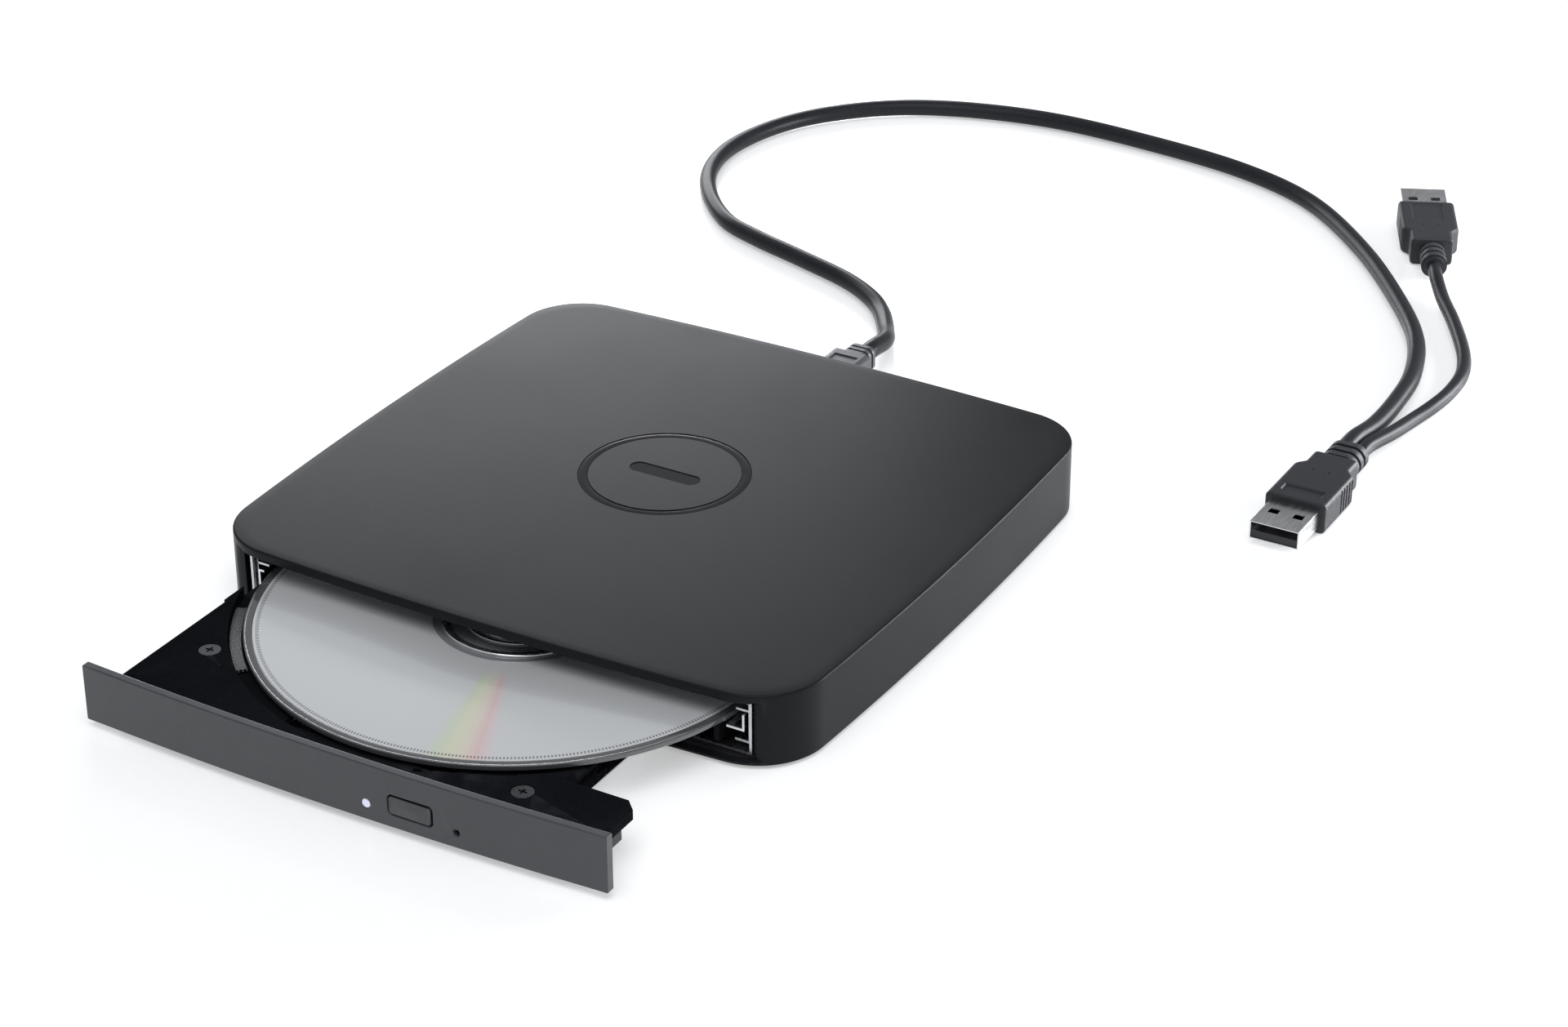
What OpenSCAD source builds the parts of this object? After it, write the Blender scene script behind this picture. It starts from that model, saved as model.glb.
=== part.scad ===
// Slim external optical drive with its tray part-way out, a disc on the hub,
// and a two-headed USB lead lying behind it.
// Origin: middle of the housing on the surface it stands on. +X right, the tray
// slides out towards -Y, +Z up. Millimetres.

/* [Housing] */
// Width at the middle of the bowed sides
body_w = 151; // [150:0.5:153]
// Depth at the middle of the bowed front and back
body_d = 147.4; // [147:0.2:149]
// Height of the top face above the surface it stands on
body_h = 17.4; // [17:0.1:19]
// Plan radius of the four corners
corner_r = 16; // [14:0.5:18]
// Radius of the bowed front and back faces
front_bow_r = 1060; // [900:10:2000]
// Radius of the bowed side faces
side_bow_r = 1100; // [900:10:2000]
// Thickness of the side walls
wall = 2; // [1.8:0.1:2.2]
// Thickness of the top
roof = 1.6; // [1.2:0.1:1.8]
// Height of the rubber feet below the housing
foot_h = 0.5; // [0.4:0.1:0.6]

/* [Tray] */
// How far the tray stands out of the housing at rest
tray_out = 53.6; // [40:0.2:60]
// Half the width of the bezel
bezel_half = 64.5; // [64:0.1:64.7]
// Bottom edge of the bezel
bezel_z0 = 1.5; // [1.5:0.1:1.8]
// Top edge of the bezel
bezel_z1 = 14.7; // [14.4:0.1:15]
// Thickness of the bezel
bezel_t = 2; // [1.8:0.1:2]
// Radius of the disc recess in the tray
recess_r = 63.2; // [62.5:0.1:63.5]
// Top face of the tray deck
deck_z = 10.7; // [10.5:0.1:10.9]

/* [Disc and pick-up] */
// Radius of the disc
disc_r = 60; // [60]
// Thickness of the disc
disc_t = 1.2; // [1.2]
// Underside of the disc
disc_z = 9.5; // [9.5]
// Distance from the lens to the disc centre at rest
lens_r = 24; // [23:1:26]
// Radius of the pick-up guide rods
rod_r = 0.9; // [0.8:0.05:0.95]

/* [Lead] */
// Diameter of the main lead
main_cord_d = 4.6; // [4.2:0.1:4.8]
// Diameter of the second, thinner lead
power_cord_d = 3.6; // [3.2:0.1:3.8]
// Direction of the second plug about the vertical
power_turn = 205; // [200:1:210]

/* [Hidden] */
$fn = 64;

// Housing levels and the front opening
cover_top = 1.7;
roof_under = body_h - roof;
open_half = bezel_half + 0.6;
open_z0 = bezel_z0 - 0.3;
open_z1 = bezel_z1 + 0.7;
boss_x = 68;
boss_y = 48;
foot_x = 58;
foot_y = 57;
foot_r = 5;
// Badge on the top face
badge_pos = [-1, 3];
badge_r = 19.8;
badge_band = 2.3;
badge_deep = 0.5;
// Drive unit inside the housing
drive_half = 63.9;
drive_front = -69;
drive_back = 61.6;
sheet = 0.5;
pan_z = 1.9;
cover_z = 13.9;
guide_x = 63.1;
rail_y0 = -42;
rail_len = 80;
post_x = 58.5;
post_y = 57.5;
latch_x = 47.5;
latch_y = -66;
latch_open = 21;
lever_pos = [51.5, -55.5];
// Boards at the back
board_y = 62.2;
board_z = 4.4;
port_x = -0.5;
port_z = 7.5;
// Tray, in its closed place
tray_back = 52;
deck_left = -59.3;
deck_right = 60.5;
waist_x = 43;
recess_floor = 8.4;
disc_y = -3.2;
under_z = 3;
led_pos = [8.5, 5.3];
button_pos = [19.2, 6.9];
button_w = 10.1;
button_h = 4;
button_gap = 0.35;
pin_hole = [30.1, 5.1];
screw_spots = [[-49.8, -48.2], [38, -61.1]];
rod_x = 22;
rod_z = 5;
screw_x = 34;
screw_z = 5.3;
lens_y = disc_y - lens_r;
// Plugs and leads
mini_face = 74.2;
mini_end = 90;
mini_relief_end = 96;
plug_len = 25;
relief_len = 9.5;
plug_z = 3.8;
main_plug_pos = [121.5, 80];
power_plug_pos = [86.3, 255];
main_exit = -1.9;
power_exit = 2.3;
main_cord_r = main_cord_d / 2;
power_cord_r = power_cord_d / 2;
plug_end = plug_len + relief_len;
main_y = main_plug_pos[1] + plug_end;
main_x = main_plug_pos[0] + main_exit;
second_x = main_plug_pos[0] + power_exit;
power_dir = [-sin(power_turn), cos(power_turn)];
power_tip = [power_plug_pos[0] + plug_end * power_dir[0], power_plug_pos[1] + plug_end * power_dir[1]];
// Route of the main lead: out of the housing, down, round behind it and into the main plug
main_route = [[port_x, mini_relief_end, port_z], [port_x, 101, port_z], [-1.5, 109, 6], [-6, 118, 3.6],
    [-13, 129, 2.3], [-20, 136, 2.3], [-31, 142.5, 2.3], [-48, 148.5, 2.3], [-65, 154, 2.3],
    [-78, 160, 2.3], [-91, 173, 2.3], [-99.5, 188, 2.3], [-102.5, 205, 2.3], [-99, 224, 2.3],
    [-90, 240, 2.3], [-75, 254, 2.3], [-55, 263, 2.3], [-30, 267.5, 2.3], [0, 266, 2.3],
    [30, 261, 2.3], [55, 250, 2.3], [78, 229, 2.3], [97, 205.5, 2.3], [111, 184, 2.3],
    [118, 164, 2.3], [120, 147, 2.3], [120.4, 133, 2.7], [main_x, 122, 3.8], [main_x, main_y, 3.8]];
// Route of the second lead: from the main plug to the second plug
power_route = [[second_x, main_y, 3.8], [second_x, 120, 3.8], [125.6, 131, 2.8], [126.8, 142, 1.8],
    [128.4, 151, 1.8], [129.2, 160, 1.8], [128.6, 170, 1.8], [126, 179, 1.8], [121.5, 188.5, 1.8],
    [115, 200, 1.8], [108.5, 210, 2.2],
    [power_tip[0] + 6 * power_dir[0], power_tip[1] + 6 * power_dir[1], 3.8],
    [power_tip[0], power_tip[1], 3.8]];

// ---- shared shapes ----

// Plan of the housing drawn inwards by d: large arcs for the sides joined by corner arcs
side_cx = body_w / 2 - side_bow_r;
front_cy = body_d / 2 - front_bow_r;
reach_s = side_bow_r - corner_r;
reach_f = front_bow_r - corner_r;
mix_k = (reach_s * reach_s - reach_f * reach_f - side_cx * side_cx + front_cy * front_cy)
    / (2 * front_cy);
mix_m = side_cx / front_cy;
quad_a = 1 + mix_m * mix_m;
quad_b = 2 * mix_k * mix_m - 2 * side_cx;
quad_c = side_cx * side_cx + mix_k * mix_k - reach_s * reach_s;
corner_x = (sqrt(quad_b * quad_b - 4 * quad_a * quad_c) - quad_b) / (2 * quad_a);
corner_y = mix_k + mix_m * corner_x;
side_angle = atan2(corner_y, corner_x - side_cx);
front_angle = atan2(corner_y - front_cy, corner_x);
side_steps = 5;
corner_steps = 10;

function quarter(d) = concat(
    [for (i = [0:side_steps]) let (a = side_angle * i / side_steps)
        [side_cx + (side_bow_r - d) * cos(a), (side_bow_r - d) * sin(a)]],
    [for (i = [1:corner_steps]) let (a = side_angle + (front_angle - side_angle) * i / corner_steps)
        [corner_x + (corner_r - d) * cos(a), corner_y + (corner_r - d) * sin(a)]],
    [for (i = [1:side_steps]) let (a = front_angle + (90 - front_angle) * i / side_steps)
        [(front_bow_r - d) * cos(a), front_cy + (front_bow_r - d) * sin(a)]]);

function mirrored(points, sx, sy) = [for (p = points) [sx * p[0], sy * p[1]]];
function reversed(points) = [for (i = [len(points) - 1:-1:0]) points[i]];
function trimmed(points) = [for (i = [1:len(points) - 1]) points[i]];
function housing_plan(d) = concat(quarter(d), trimmed(reversed(mirrored(quarter(d), -1, 1))),
    trimmed(mirrored(quarter(d), -1, -1)),
    [for (i = [len(quarter(d)) - 2:-1:1]) [quarter(d)[i][0], -quarter(d)[i][1]]]);

// Front face line of the closed tray at x, set back by d
function front_line(x, d) = -front_cy - sqrt((front_bow_r - d) * (front_bow_r - d) - x * x);
function bow_points(x0, x1, d, steps) = [for (i = [0:steps]) let (x = x0 + (x1 - x0) * i / steps)
    [x, front_line(x, d)]];

module slab(d, z0, z1) {
    translate([0, 0, z0]) linear_extrude(z1 - z0) polygon(housing_plan(d));
}

module block(x0, x1, y0, y1, z0, z1) {
    translate([x0, y0, z0]) cube([x1 - x0, y1 - y0, z1 - z0]);
}

module post(x, y, r, z0, z1) {
    translate([x, y, z0]) cylinder(h = z1 - z0, r = r);
}

module bar_y(x, z, r, y0, y1) {
    translate([x, y0, z]) rotate([-90, 0, 0]) cylinder(h = y1 - y0, r = r);
}

module ring(x, y, outer, inner, z0, z1) {
    difference() {
        post(x, y, outer, z0, z1);
        post(x, y, inner, z0 - 1, z1 + 1);
    }
}

// Rectangle with round corners, centred
module round_rect(w, h, r) {
    square([w - 2 * r, h], center = true);
    square([w, h - 2 * r], center = true);
    for (sx = [-1, 1], sy = [-1, 1])
        translate([sx * (w / 2 - r), sy * (h / 2 - r)]) circle(r);
}

// Round-cornered bar along Y between y0 and y1, centred on x and z
module bar_rect(x, z, w, h, r, y0, y1) {
    translate([x, y1, z]) rotate([90, 0, 0]) linear_extrude(y1 - y0) round_rect(w, h, r);
}

module four(x, y) {
    for (sx = [-1, 1], sy = [-1, 1]) translate([sx * x, sy * y, 0]) children();
}

// Everything that slides with the tray is drawn closed and then moved out
module slid_out(part = 1) {
    translate([0, -tray_out * part, 0]) children();
}

// ---- swept tube ----

function unit(v) = v / norm(v);
// Catmull-Rom point between b and c at t
function spline(a, b, c, d, t) = 0.5 * (2 * b + (c - a) * t + (2 * a - 5 * b + 4 * c - d) * t * t
    + (3 * b - a - 3 * c + d) * t * t * t);
function smooth(p) = concat([for (i = [0:len(p) - 2]) for (t = [0, 0.5])
    spline(p[max(i - 1, 0)], p[i], p[i + 1], p[min(i + 2, len(p) - 1)], t)], [p[len(p) - 1]]);
// Direction at point i; the two ends keep the route's own first and last directions
function heading(p, i, ends) = i == 0 ? ends[0] : i == len(p) - 1 ? ends[1] : unit(p[i + 1] - p[i - 1]);
function ring_points(p, i, r, sides, ends) = let (t = heading(p, i, ends),
    s = unit(cross(t, [0, 0, 1])), u = cross(s, t))
    [for (k = [0:sides - 1]) p[i] + r * (cos(360 * k / sides) * u + sin(360 * k / sides) * s)];

module tube(route, r, sides) {
    path = smooth(route);
    count = len(path);
    stop = len(route) - 1;
    ends = [unit(route[1] - route[0]), unit(route[stop] - route[stop - 1])];
    points = [for (i = [0:count - 1]) each ring_points(path, i, r, sides, ends)];
    skin = [for (i = [0:count - 2]) for (k = [0:sides - 1]) let (n = (k + 1) % sides)
        [i * sides + k, i * sides + n, (i + 1) * sides + n, (i + 1) * sides + k]];
    start_cap = [for (k = [sides - 1:-1:0]) k];
    end_cap = [for (k = [0:sides - 1]) (count - 1) * sides + k];
    polyhedron(points = points, faces = concat(skin, [start_cap, end_cap]), convexity = 10);
}

// ---- housing ----

module top_shell() color("#3b3c41") difference() {
    union() {
        difference() {
            slab(0, foot_h, body_h);
            slab(wall, foot_h - 1, roof_under);
        }
        four(boss_x, boss_y) post(0, 0, 3, cover_top + 0.1, roof_under + 0.2);
    }
    block(-open_half, open_half, -body_d / 2 - 1, -body_d / 2 + 8, open_z0, open_z1);
    block(port_x - 5.6, port_x + 5.6, body_d / 2 - 5, body_d / 2 + 1, port_z - 4.2, port_z + 4.2);
    four(boss_x, boss_y) post(0, 0, 1.2, cover_top, 10);
    ring(badge_pos[0], badge_pos[1], badge_r + 0.05, badge_r - badge_band - 0.05,
        body_h - badge_deep, body_h + 1);
    translate([0, 0, body_h - badge_deep]) linear_extrude(2) mark_shape(0.05);
}

// Plain round-ended bar, 18 by 4.5 mm
module mark_shape(grow) {
    translate(badge_pos) {
        square([13.5, 4.5 + 2 * grow], center = true);
        for (side = [-1, 1]) translate([side * 6.75, 0]) circle(2.25 + grow);
    }
}

module bottom_cover() color("#2b2c30") difference() {
    union() {
        slab(wall + 0.15, foot_h, cover_top);
        for (sx = [-1, 1]) post(sx * 40, 66, 2, cover_top - 0.1, board_z);
    }
    block(-open_half, open_half, -body_d / 2, -body_d / 2 + 5, open_z0, 3);
    four(foot_x, foot_y) post(0, 0, foot_r + 0.1, foot_h - 1, 0.9);
    four(boss_x, boss_y) {
        post(0, 0, 2.4, foot_h - 1, 1.3);
        post(0, 0, 1.3, foot_h, 3);
    }
    for (sx = [-1, 1]) post(sx * 40, 66, 0.9, 2, board_z + 1);
    block(-24.05, 24.05, -33.05, -6.95, foot_h - 1, foot_h + 0.2);
}

module badge_ring() color("#101114")
    ring(badge_pos[0], badge_pos[1], badge_r, badge_r - badge_band, body_h - badge_deep,
        body_h - 0.15);

module badge_mark() color("#101114")
    translate([0, 0, body_h - badge_deep]) linear_extrude(badge_deep - 0.15) mark_shape(0);

module rubber_feet() color("#1a1a1c") four(foot_x, foot_y) post(0, 0, foot_r, 0, 0.9);

module base_screws() color("#7d7f84") four(boss_x, boss_y) difference() {
    union() {
        post(0, 0, 2.2, 0.6, 1.3);
        post(0, 0, 1.15, 1.2, 9);
    }
    for (turn = [0, 90]) rotate(turn) block(-1.2, 1.2, -0.25, 0.25, 0, 1);
}

module rating_label() color("#c9cacc") block(-24, 24, -33, -7, foot_h, foot_h + 0.2);

// ---- drive unit fixed inside the housing ----

module drive_chassis() color("#b4b6b9") difference() {
    union() {
        block(-drive_half, drive_half, drive_front, drive_back, pan_z, pan_z + sheet);
        for (sx = [-1, 1]) translate([sx * (drive_half - 0.3), 0, 0])
            block(-0.3, 0.3, drive_front, drive_back, pan_z, cover_z);
        block(-drive_half, drive_half, drive_back - 0.6, drive_back, pan_z, cover_z);
        for (sx = [-1, 1]) post(sx * post_x, post_y, 1.8, pan_z, cover_z);
    }
    for (sx = [-1, 1]) post(sx * post_x, post_y, 0.9, 6, cover_z + 1);
    block(-46, -12, drive_back - 2, drive_back + 1, 5.2, 9.8);
    for (sx = [-1, 1], y = [-40, 20]) translate([sx * 40, y, pan_z - 1]) linear_extrude(3)
        round_rect(16, 30, 3);
}

module drive_cover() color("#c2c4c7") difference() {
    block(-drive_half, drive_half, drive_front, drive_back, cover_z, cover_z + sheet);
    for (sx = [-1, 1]) post(sx * post_x, post_y, 1, cover_z - 1, cover_z + 1);
}

module cover_screws() color("#8f9196") for (sx = [-1, 1]) {
    post(sx * post_x, post_y, 1.9, cover_z + sheet, cover_z + sheet + 0.6);
    post(sx * post_x, post_y, 0.85, 8, cover_z + sheet + 0.1);
}

module latch_post() color("#9b9da1") post(latch_x, latch_y, 1.2, pan_z + sheet, 7);

// Guide fixed to the chassis side: a plate with a flange over the tray and a lower lip
module rail_guide(lip_z, lip_reach) {
    block(guide_x - 0.6, guide_x, drive_front + 1, 58, lip_z, 13.4);
    block(guide_x - 3.6, guide_x - 0.5, drive_front + 1, 54, 11.3, 11.9);
    block(guide_x - lip_reach, guide_x - 0.5, drive_front + 1, 54, lip_z, lip_z + 0.6);
}

module rail_guide_left() color("#d4d6d8") mirror([1, 0, 0]) rail_guide(2.6, 1.6);
module rail_guide_right() color("#d4d6d8") rail_guide(3.9, 3.9);

// Rail that runs half as far as the tray; the left one is a channel, the right one an angle
module slide_rail_left() color("#a9abae") mirror([1, 0, 0]) slid_out(0.5) {
    block(61.5, 62.1, rail_y0, rail_y0 + rail_len, 3.6, 10.6);
    block(60.4, 61.6, rail_y0, rail_y0 + rail_len, 3.6, 4.2);
    block(60.4, 61.6, rail_y0, rail_y0 + rail_len, 10, 10.6);
}

module slide_rail_right() color("#a9abae") slid_out(0.5) {
    block(61.4, 62, rail_y0, rail_y0 + rail_len, 7, 11);
    block(57.6, 61.5, rail_y0, rail_y0 + rail_len, 7, 7.6);
}

module main_board() color("#2e6b3a") block(-54, 54, 53.3, 60.6, 3, 4);

module main_board_chips() color("#17181a") {
    block(-8, 4, 54, 60, 4, 5);
    block(12, 22, 54.5, 59.5, 4, 4.9);
    block(-26, -18, 54.5, 59.5, 4, 4.9);
    for (i = [0:5]) block(28 + 4 * i, 30 + 4 * i, 56, 57.2, 4, 4.6);
}

module flex_cable() color("#c48a3a") {
    block(-10, 10, 8, 53.2, 2.4, 2.6);
    block(-10, 10, 53, 53.2, 2.4, 4);
}

module drive_connector() color("#1c1d20") {
    block(-44, -14, 58.8, 63.9, 5.5, 9.2);
    block(-40, -18, 54.5, 58.9, 6.2, 8.4);
}

module bridge_board() color("#1f5a33") difference() {
    block(-46, 46, board_y, 70.2, board_z, board_z + 1.1);
    for (sx = [-1, 1]) post(sx * 40, 66, 1.1, 0, 10);
}

module bridge_board_chips() color("#17181a") {
    block(16, 23, 63.2, 69.2, board_z + 1.1, board_z + 2);
    block(8, 11, 64, 66.5, board_z + 1.1, board_z + 2.3);
    for (i = [0:3]) block(26 + 2.5 * i, 27.2 + 2.5 * i, 65, 66.8, board_z + 1.1, board_z + 1.7);
}

module board_screws() color("#8f9196") for (sx = [-1, 1]) {
    post(sx * 40, 66, 1.8, board_z + 1.1, board_z + 1.9);
    post(sx * 40, 66, 0.85, 2.2, board_z + 1.2);
}

module usb_socket() color("#b9bbbe") difference() {
    block(port_x - 3.9, port_x + 3.9, 64.5, 73, port_z - 2, port_z + 2);
    block(port_x - 3.55, port_x + 3.55, 66, 74, port_z - 1.65, port_z + 1.65);
}

// ---- tray ----

deck_plan = concat(bow_points(deck_left, deck_right, bezel_t, 16),
    [[deck_right, -55.9], [deck_right - 2.5, -53.4], [waist_x, -53.4], [waist_x, -16], [60, -16],
        [60, tray_back], [-60, tray_back], [-60, -30], [deck_left, -30]]);

module deck_layer(z0, z1) {
    translate([0, 0, z0]) linear_extrude(z1 - z0) polygon(deck_plan);
}

module tray() color("#26272c") slid_out() difference() {
    union() {
        difference() {
            deck_layer(recess_floor, deck_z);
            post(0, disc_y, recess_r, recess_floor, deck_z + 1);
        }
        intersection() {
            deck_layer(7.4, recess_floor + 0.1);
            union() {
                block(-61, waist_x, -80, 60, 7, recess_floor);
                block(waist_x - 1, 56.4, -30, 60, 7, recess_floor);
            }
        }
        block(-60, -58.8, -68, tray_back, 3.4, 7.5);
        block(55.2, 56.4, -16, tray_back, 3.4, 7.5);
        block(-59.3, 3, -69.2, -68, 3.4, 7.5);
        block(34, deck_right, -69.2, -68, 3.4, recess_floor + 0.1);
        post(lever_pos[0], lever_pos[1], 1, 3.6, recess_floor + 0.1);
    }
    post(0, disc_y, 20.5, 7, 12);
    block(-21, 21, disc_y - 58, disc_y - 8, 7, 12);
    block(-30, 30, disc_y + 30, disc_y + 44, 7, 12);
    for (p = screw_spots) {
        post(p[0], p[1], 2.6, deck_z - 0.5, deck_z + 1);
        post(p[0], p[1], 1.1, 7, deck_z + 1);
    }
    translate([31, -57.5, 7]) rotate(27) block(-3, 3, -1, 1, 0, 5);
    translate([16.5, -64.8, 7]) rotate(20) block(-2, 2, -0.6, 0.6, 0, 5);
    for (p = [[-43.1, -52.6], [-57, -65.1], [56.3, -65.5]]) post(p[0], p[1], 0.5, deck_z - 1, 12);
    block(button_pos[0] - 6.4, button_pos[0] + 6.4, -76, -69.9, 3, 9.4);
}

module tray_underside() color("#a4a6aa") slid_out() difference() {
    block(-58.4, waist_x, -67.7, 50, under_z, under_z + 0.3);
    post(0, disc_y, 6, 2, 4);
    for (x = [-45, -30]) translate([x, -20, 2]) linear_extrude(3) round_rect(6, 40, 2);
}

module bezel() color("#3f4045") slid_out() difference() {
    union() {
        translate([0, 0, bezel_z0]) linear_extrude(bezel_z1 - bezel_z0)
            polygon(concat(bow_points(-bezel_half, bezel_half, 0, 20),
                reversed(bow_points(-bezel_half, bezel_half, bezel_t, 20))));
        for (x = [-45, -15, 45]) block(x - 2.5, x + 2.5, -71.6, -69.3, 4.6, 7);
    }
    translate([button_pos[0], -60, button_pos[1]]) rotate([90, 0, 0]) linear_extrude(30)
        round_rect(button_w + 2 * button_gap, button_h + 2 * button_gap, 1.1);
    bar_y(led_pos[0], led_pos[1], 1.05, -80, -60);
    bar_y(pin_hole[0], pin_hole[1], 0.75, -80, -60);
}

module deck_screws() color("#3a3b40") slid_out() for (p = screw_spots)
    translate([p[0], p[1], 0]) difference() {
        union() {
            post(0, 0, 2.4, deck_z - 0.5, deck_z - 0.1);
            post(0, 0, 1, 7.5, deck_z - 0.4);
        }
        for (turn = [0, 90]) rotate(turn) block(-1, 1, -0.25, 0.25, deck_z - 0.4, deck_z + 1);
    }

module led_lens() color("#e4e2f2") slid_out()
    bar_y(led_pos[0], led_pos[1], 1, front_line(led_pos[0], 0) - 0.1, -71.6);

module status_led() color("#f2f2f5") slid_out() bar_y(led_pos[0], led_pos[1], 0.8, -71.4, -68.6);

module front_board() color("#2e6b3a") slid_out() block(4, 27, -68.6, -67.8, 3.4, 7.3);

module eject_switch() color("#1a1b1e") slid_out() {
    block(button_pos[0] - 2, button_pos[0] + 2, -69.7, -68.6, 4.2, 7.2);
}

module eject_button() color("#303136") slid_out() {
    difference() {
        translate([button_pos[0], -71, button_pos[1]]) rotate([90, 0, 0])
            linear_extrude(4) round_rect(button_w, button_h, 0.8);
        block(0, 40, -80, front_line(button_pos[0], -0.05), 0, 20);
    }
    bar_rect(button_pos[0], button_pos[1] - 0.3, button_w + 1.6, button_h + 1, 0.8, -71.2, -70.7);
    block(button_pos[0] - 1, button_pos[0] + 1, -70.8, -70.3, 5, 6.6);
}

// Hook lever, drawn swung clear of the post; it turns back to catch the post
module latch_lever() color("#d8d8d2") slid_out() translate([lever_pos[0], lever_pos[1], 0])
    rotate(latch_open) difference() {
        union() {
            post(0, 0, 2.2, 4.6, 6.2);
            block(-0.8, 0.8, -8.9, 0, 4.6, 6.2);
            block(-4.8, 0.8, -8.95, -7.5, 4.6, 6.2);
        }
        post(0, 0, 1.05, 4, 7);
    }

module latch_solenoid() color("#8c6a3c") slid_out() block(56.6, 58.4, -67.4, -57, 3.6, 7.2);

// ---- pick-up and spindle ----

module traverse_frame() color("#9fa1a5") slid_out() translate([0, disc_y, 0]) difference() {
    union() {
        block(-31, 31, -63, 15, 6, 7);
        for (sx = [-1, 1], y = [-63, -13]) translate([sx * rod_x, y, 0])
            block(-1.8, 1.8, 0, 2.7, 3.6, 6.1);
        for (y = [-62.5, -21.5]) block(30, 36, y, y + 1.2, 3.6, 7);
    }
    block(-25, 25, -60.3, -13, 5, 8);
    post(0, 0, 11.4, 5, 8);
    for (sx = [-1, 1]) bar_y(sx * rod_x, rod_z, rod_r + 0.02, -70, 0);
    bar_y(screw_x, screw_z, 0.85, -70, -10);
    for (sx = [-1, 1]) post(sx * 27, 11.5, 1.1, 5, 8);
}

module frame_dampers() color("#3c4a52") slid_out() for (sx = [-1, 1])
    ring(sx * 27, disc_y + 11.5, 2.4, 1.1, 3.35, 5.95);

module guide_rods() color("#d9dadc") slid_out() for (sx = [-1, 1])
    bar_y(sx * rod_x, rod_z, rod_r, disc_y - 62.8, disc_y - 10.5);

module lead_screw() color("#c9cacc") slid_out() {
    bar_y(screw_x, screw_z, 0.8, disc_y - 62.3, disc_y - 19.6);
    bar_y(screw_x, screw_z, 1.2, disc_y - 61, disc_y - 21.8);
}

module sled_motor() color("#85878b") slid_out() difference() {
    bar_y(screw_x, screw_z, 1.9, disc_y - 20.2, disc_y - 8);
    bar_y(screw_x, screw_z, 0.85, disc_y - 21, disc_y - 19);
}

module pickup_sled() color("#55585e") slid_out() translate([0, lens_y, 0]) difference() {
    union() {
        block(-24, 24, -6, 6, 3.7, 7.1);
        block(-9, 9, -5, 5, 7, 8.6);
        block(23, 32.6, -2, 2, 4.2, 5.6);
    }
    for (sx = [-1, 1]) bar_y(sx * rod_x, rod_z, rod_r + 0.05, -8, 8);
    post(0, 0, 3.5, 7.3, 10);
}

module objective_lens() color("#7c6fb4") slid_out() translate([0, lens_y, 0]) {
    post(0, 0, 3, 7.8, 8.7);
    post(0, 0, 1.8, 8.6, 8.95);
}

module spindle_motor() color("#6e7176") slid_out() translate([0, disc_y, 0]) difference() {
    union() {
        post(0, 0, 11, 3.4, 5.2);
        post(0, 0, 9.2, 5.1, 7.4);
        post(0, 0, 3, 3.4, 7.6);
    }
    ring(0, 0, 5.2, 3, 5.6, 9);
    post(0, 0, 1.55, 3.8, 9);
}

module turntable() color("#1d1e21") slid_out() translate([0, disc_y, 0]) {
    difference() {
        union() {
            post(0, 0, 14.5, 8.5, disc_z);
            post(0, 0, 11, 5.8, 8.6);
            post(0, 0, 7.4, 9, 11.3);
        }
        post(0, 0, 9.8, 5, 8);
        for (turn = [30, 150, 270]) rotate(turn) block(5, 8, -1.3, 1.3, 9.9, 11.4);
    }
    post(0, 0, 1.5, 4, 8.2);
}

module hub_jaws() color("#c7c9cc") slid_out() translate([0, disc_y, 0])
    for (turn = [30, 150, 270]) rotate(turn) {
        block(5.2, 7.3, -1.1, 1.1, 9.9, 11.2);
        block(7.2, 8, -1.1, 1.1, disc_z + disc_t + 0.05, 11.2);
    }

module disc() color("#d5d7da") slid_out()
    ring(0, disc_y, disc_r, 7.5, disc_z, disc_z + disc_t);

// ---- lead ----

module mini_plug_tip() color("#c6c8cb") difference() {
    block(port_x - 3.35, port_x + 3.35, 67, mini_face, port_z - 1.45, port_z + 1.45);
    block(port_x - 2.9, port_x + 2.9, 66, 72, port_z - 1, port_z + 1);
}

module mini_plug_body() color("#34363b") difference() {
    bar_rect(port_x, port_z, 10.6, 7.6, 1.5, mini_face, mini_end);
    block(port_x - 3.2, port_x + 3.2, 79, 87.5, port_z + 3.5, port_z + 5);
}

module mini_strain_relief() color("#2c2e33") {
    bar_rect(port_x, port_z, 5.4, 5.2, 1.5, mini_end, mini_relief_end);
    for (i = [0:2]) bar_rect(port_x, port_z, 7, 6.2, 1.7, mini_end + 0.9 + 1.9 * i,
        mini_end + 2.1 + 1.9 * i);
}

module main_cord() color("#3a3c42") tube(main_route, main_cord_r, 10);
module power_cord() color("#3a3c42") tube(power_route, power_cord_r, 8);

// Plug drawn along +Y from the face its shell leaves; the shell points to -Y
module plug_body() {
    difference() {
        union() {
            bar_rect(0, plug_z, 15, 7.6, 1, 0, 18);
            bar_rect(0, plug_z, 11, 7.6, 1, 17.9, plug_len);
        }
        block(-5, 5, 3, 6.4, plug_z + 3.5, plug_z + 5);
        for (sx = [-1, 1]) post(sx * 2, 15.5, 0.4, plug_z + 3.3, plug_z + 5);
        for (sx = [-1, 1], i = [0:4]) translate([sx * 7.5, 9.6 + 1.6 * i, 0])
            block(-0.3, 0.3, 0, 0.7, plug_z - 3, plug_z + 3);
        block(-6.1, 6.1, -1, 2.5, plug_z - 2.3, plug_z + 2.3);
    }
}

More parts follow.
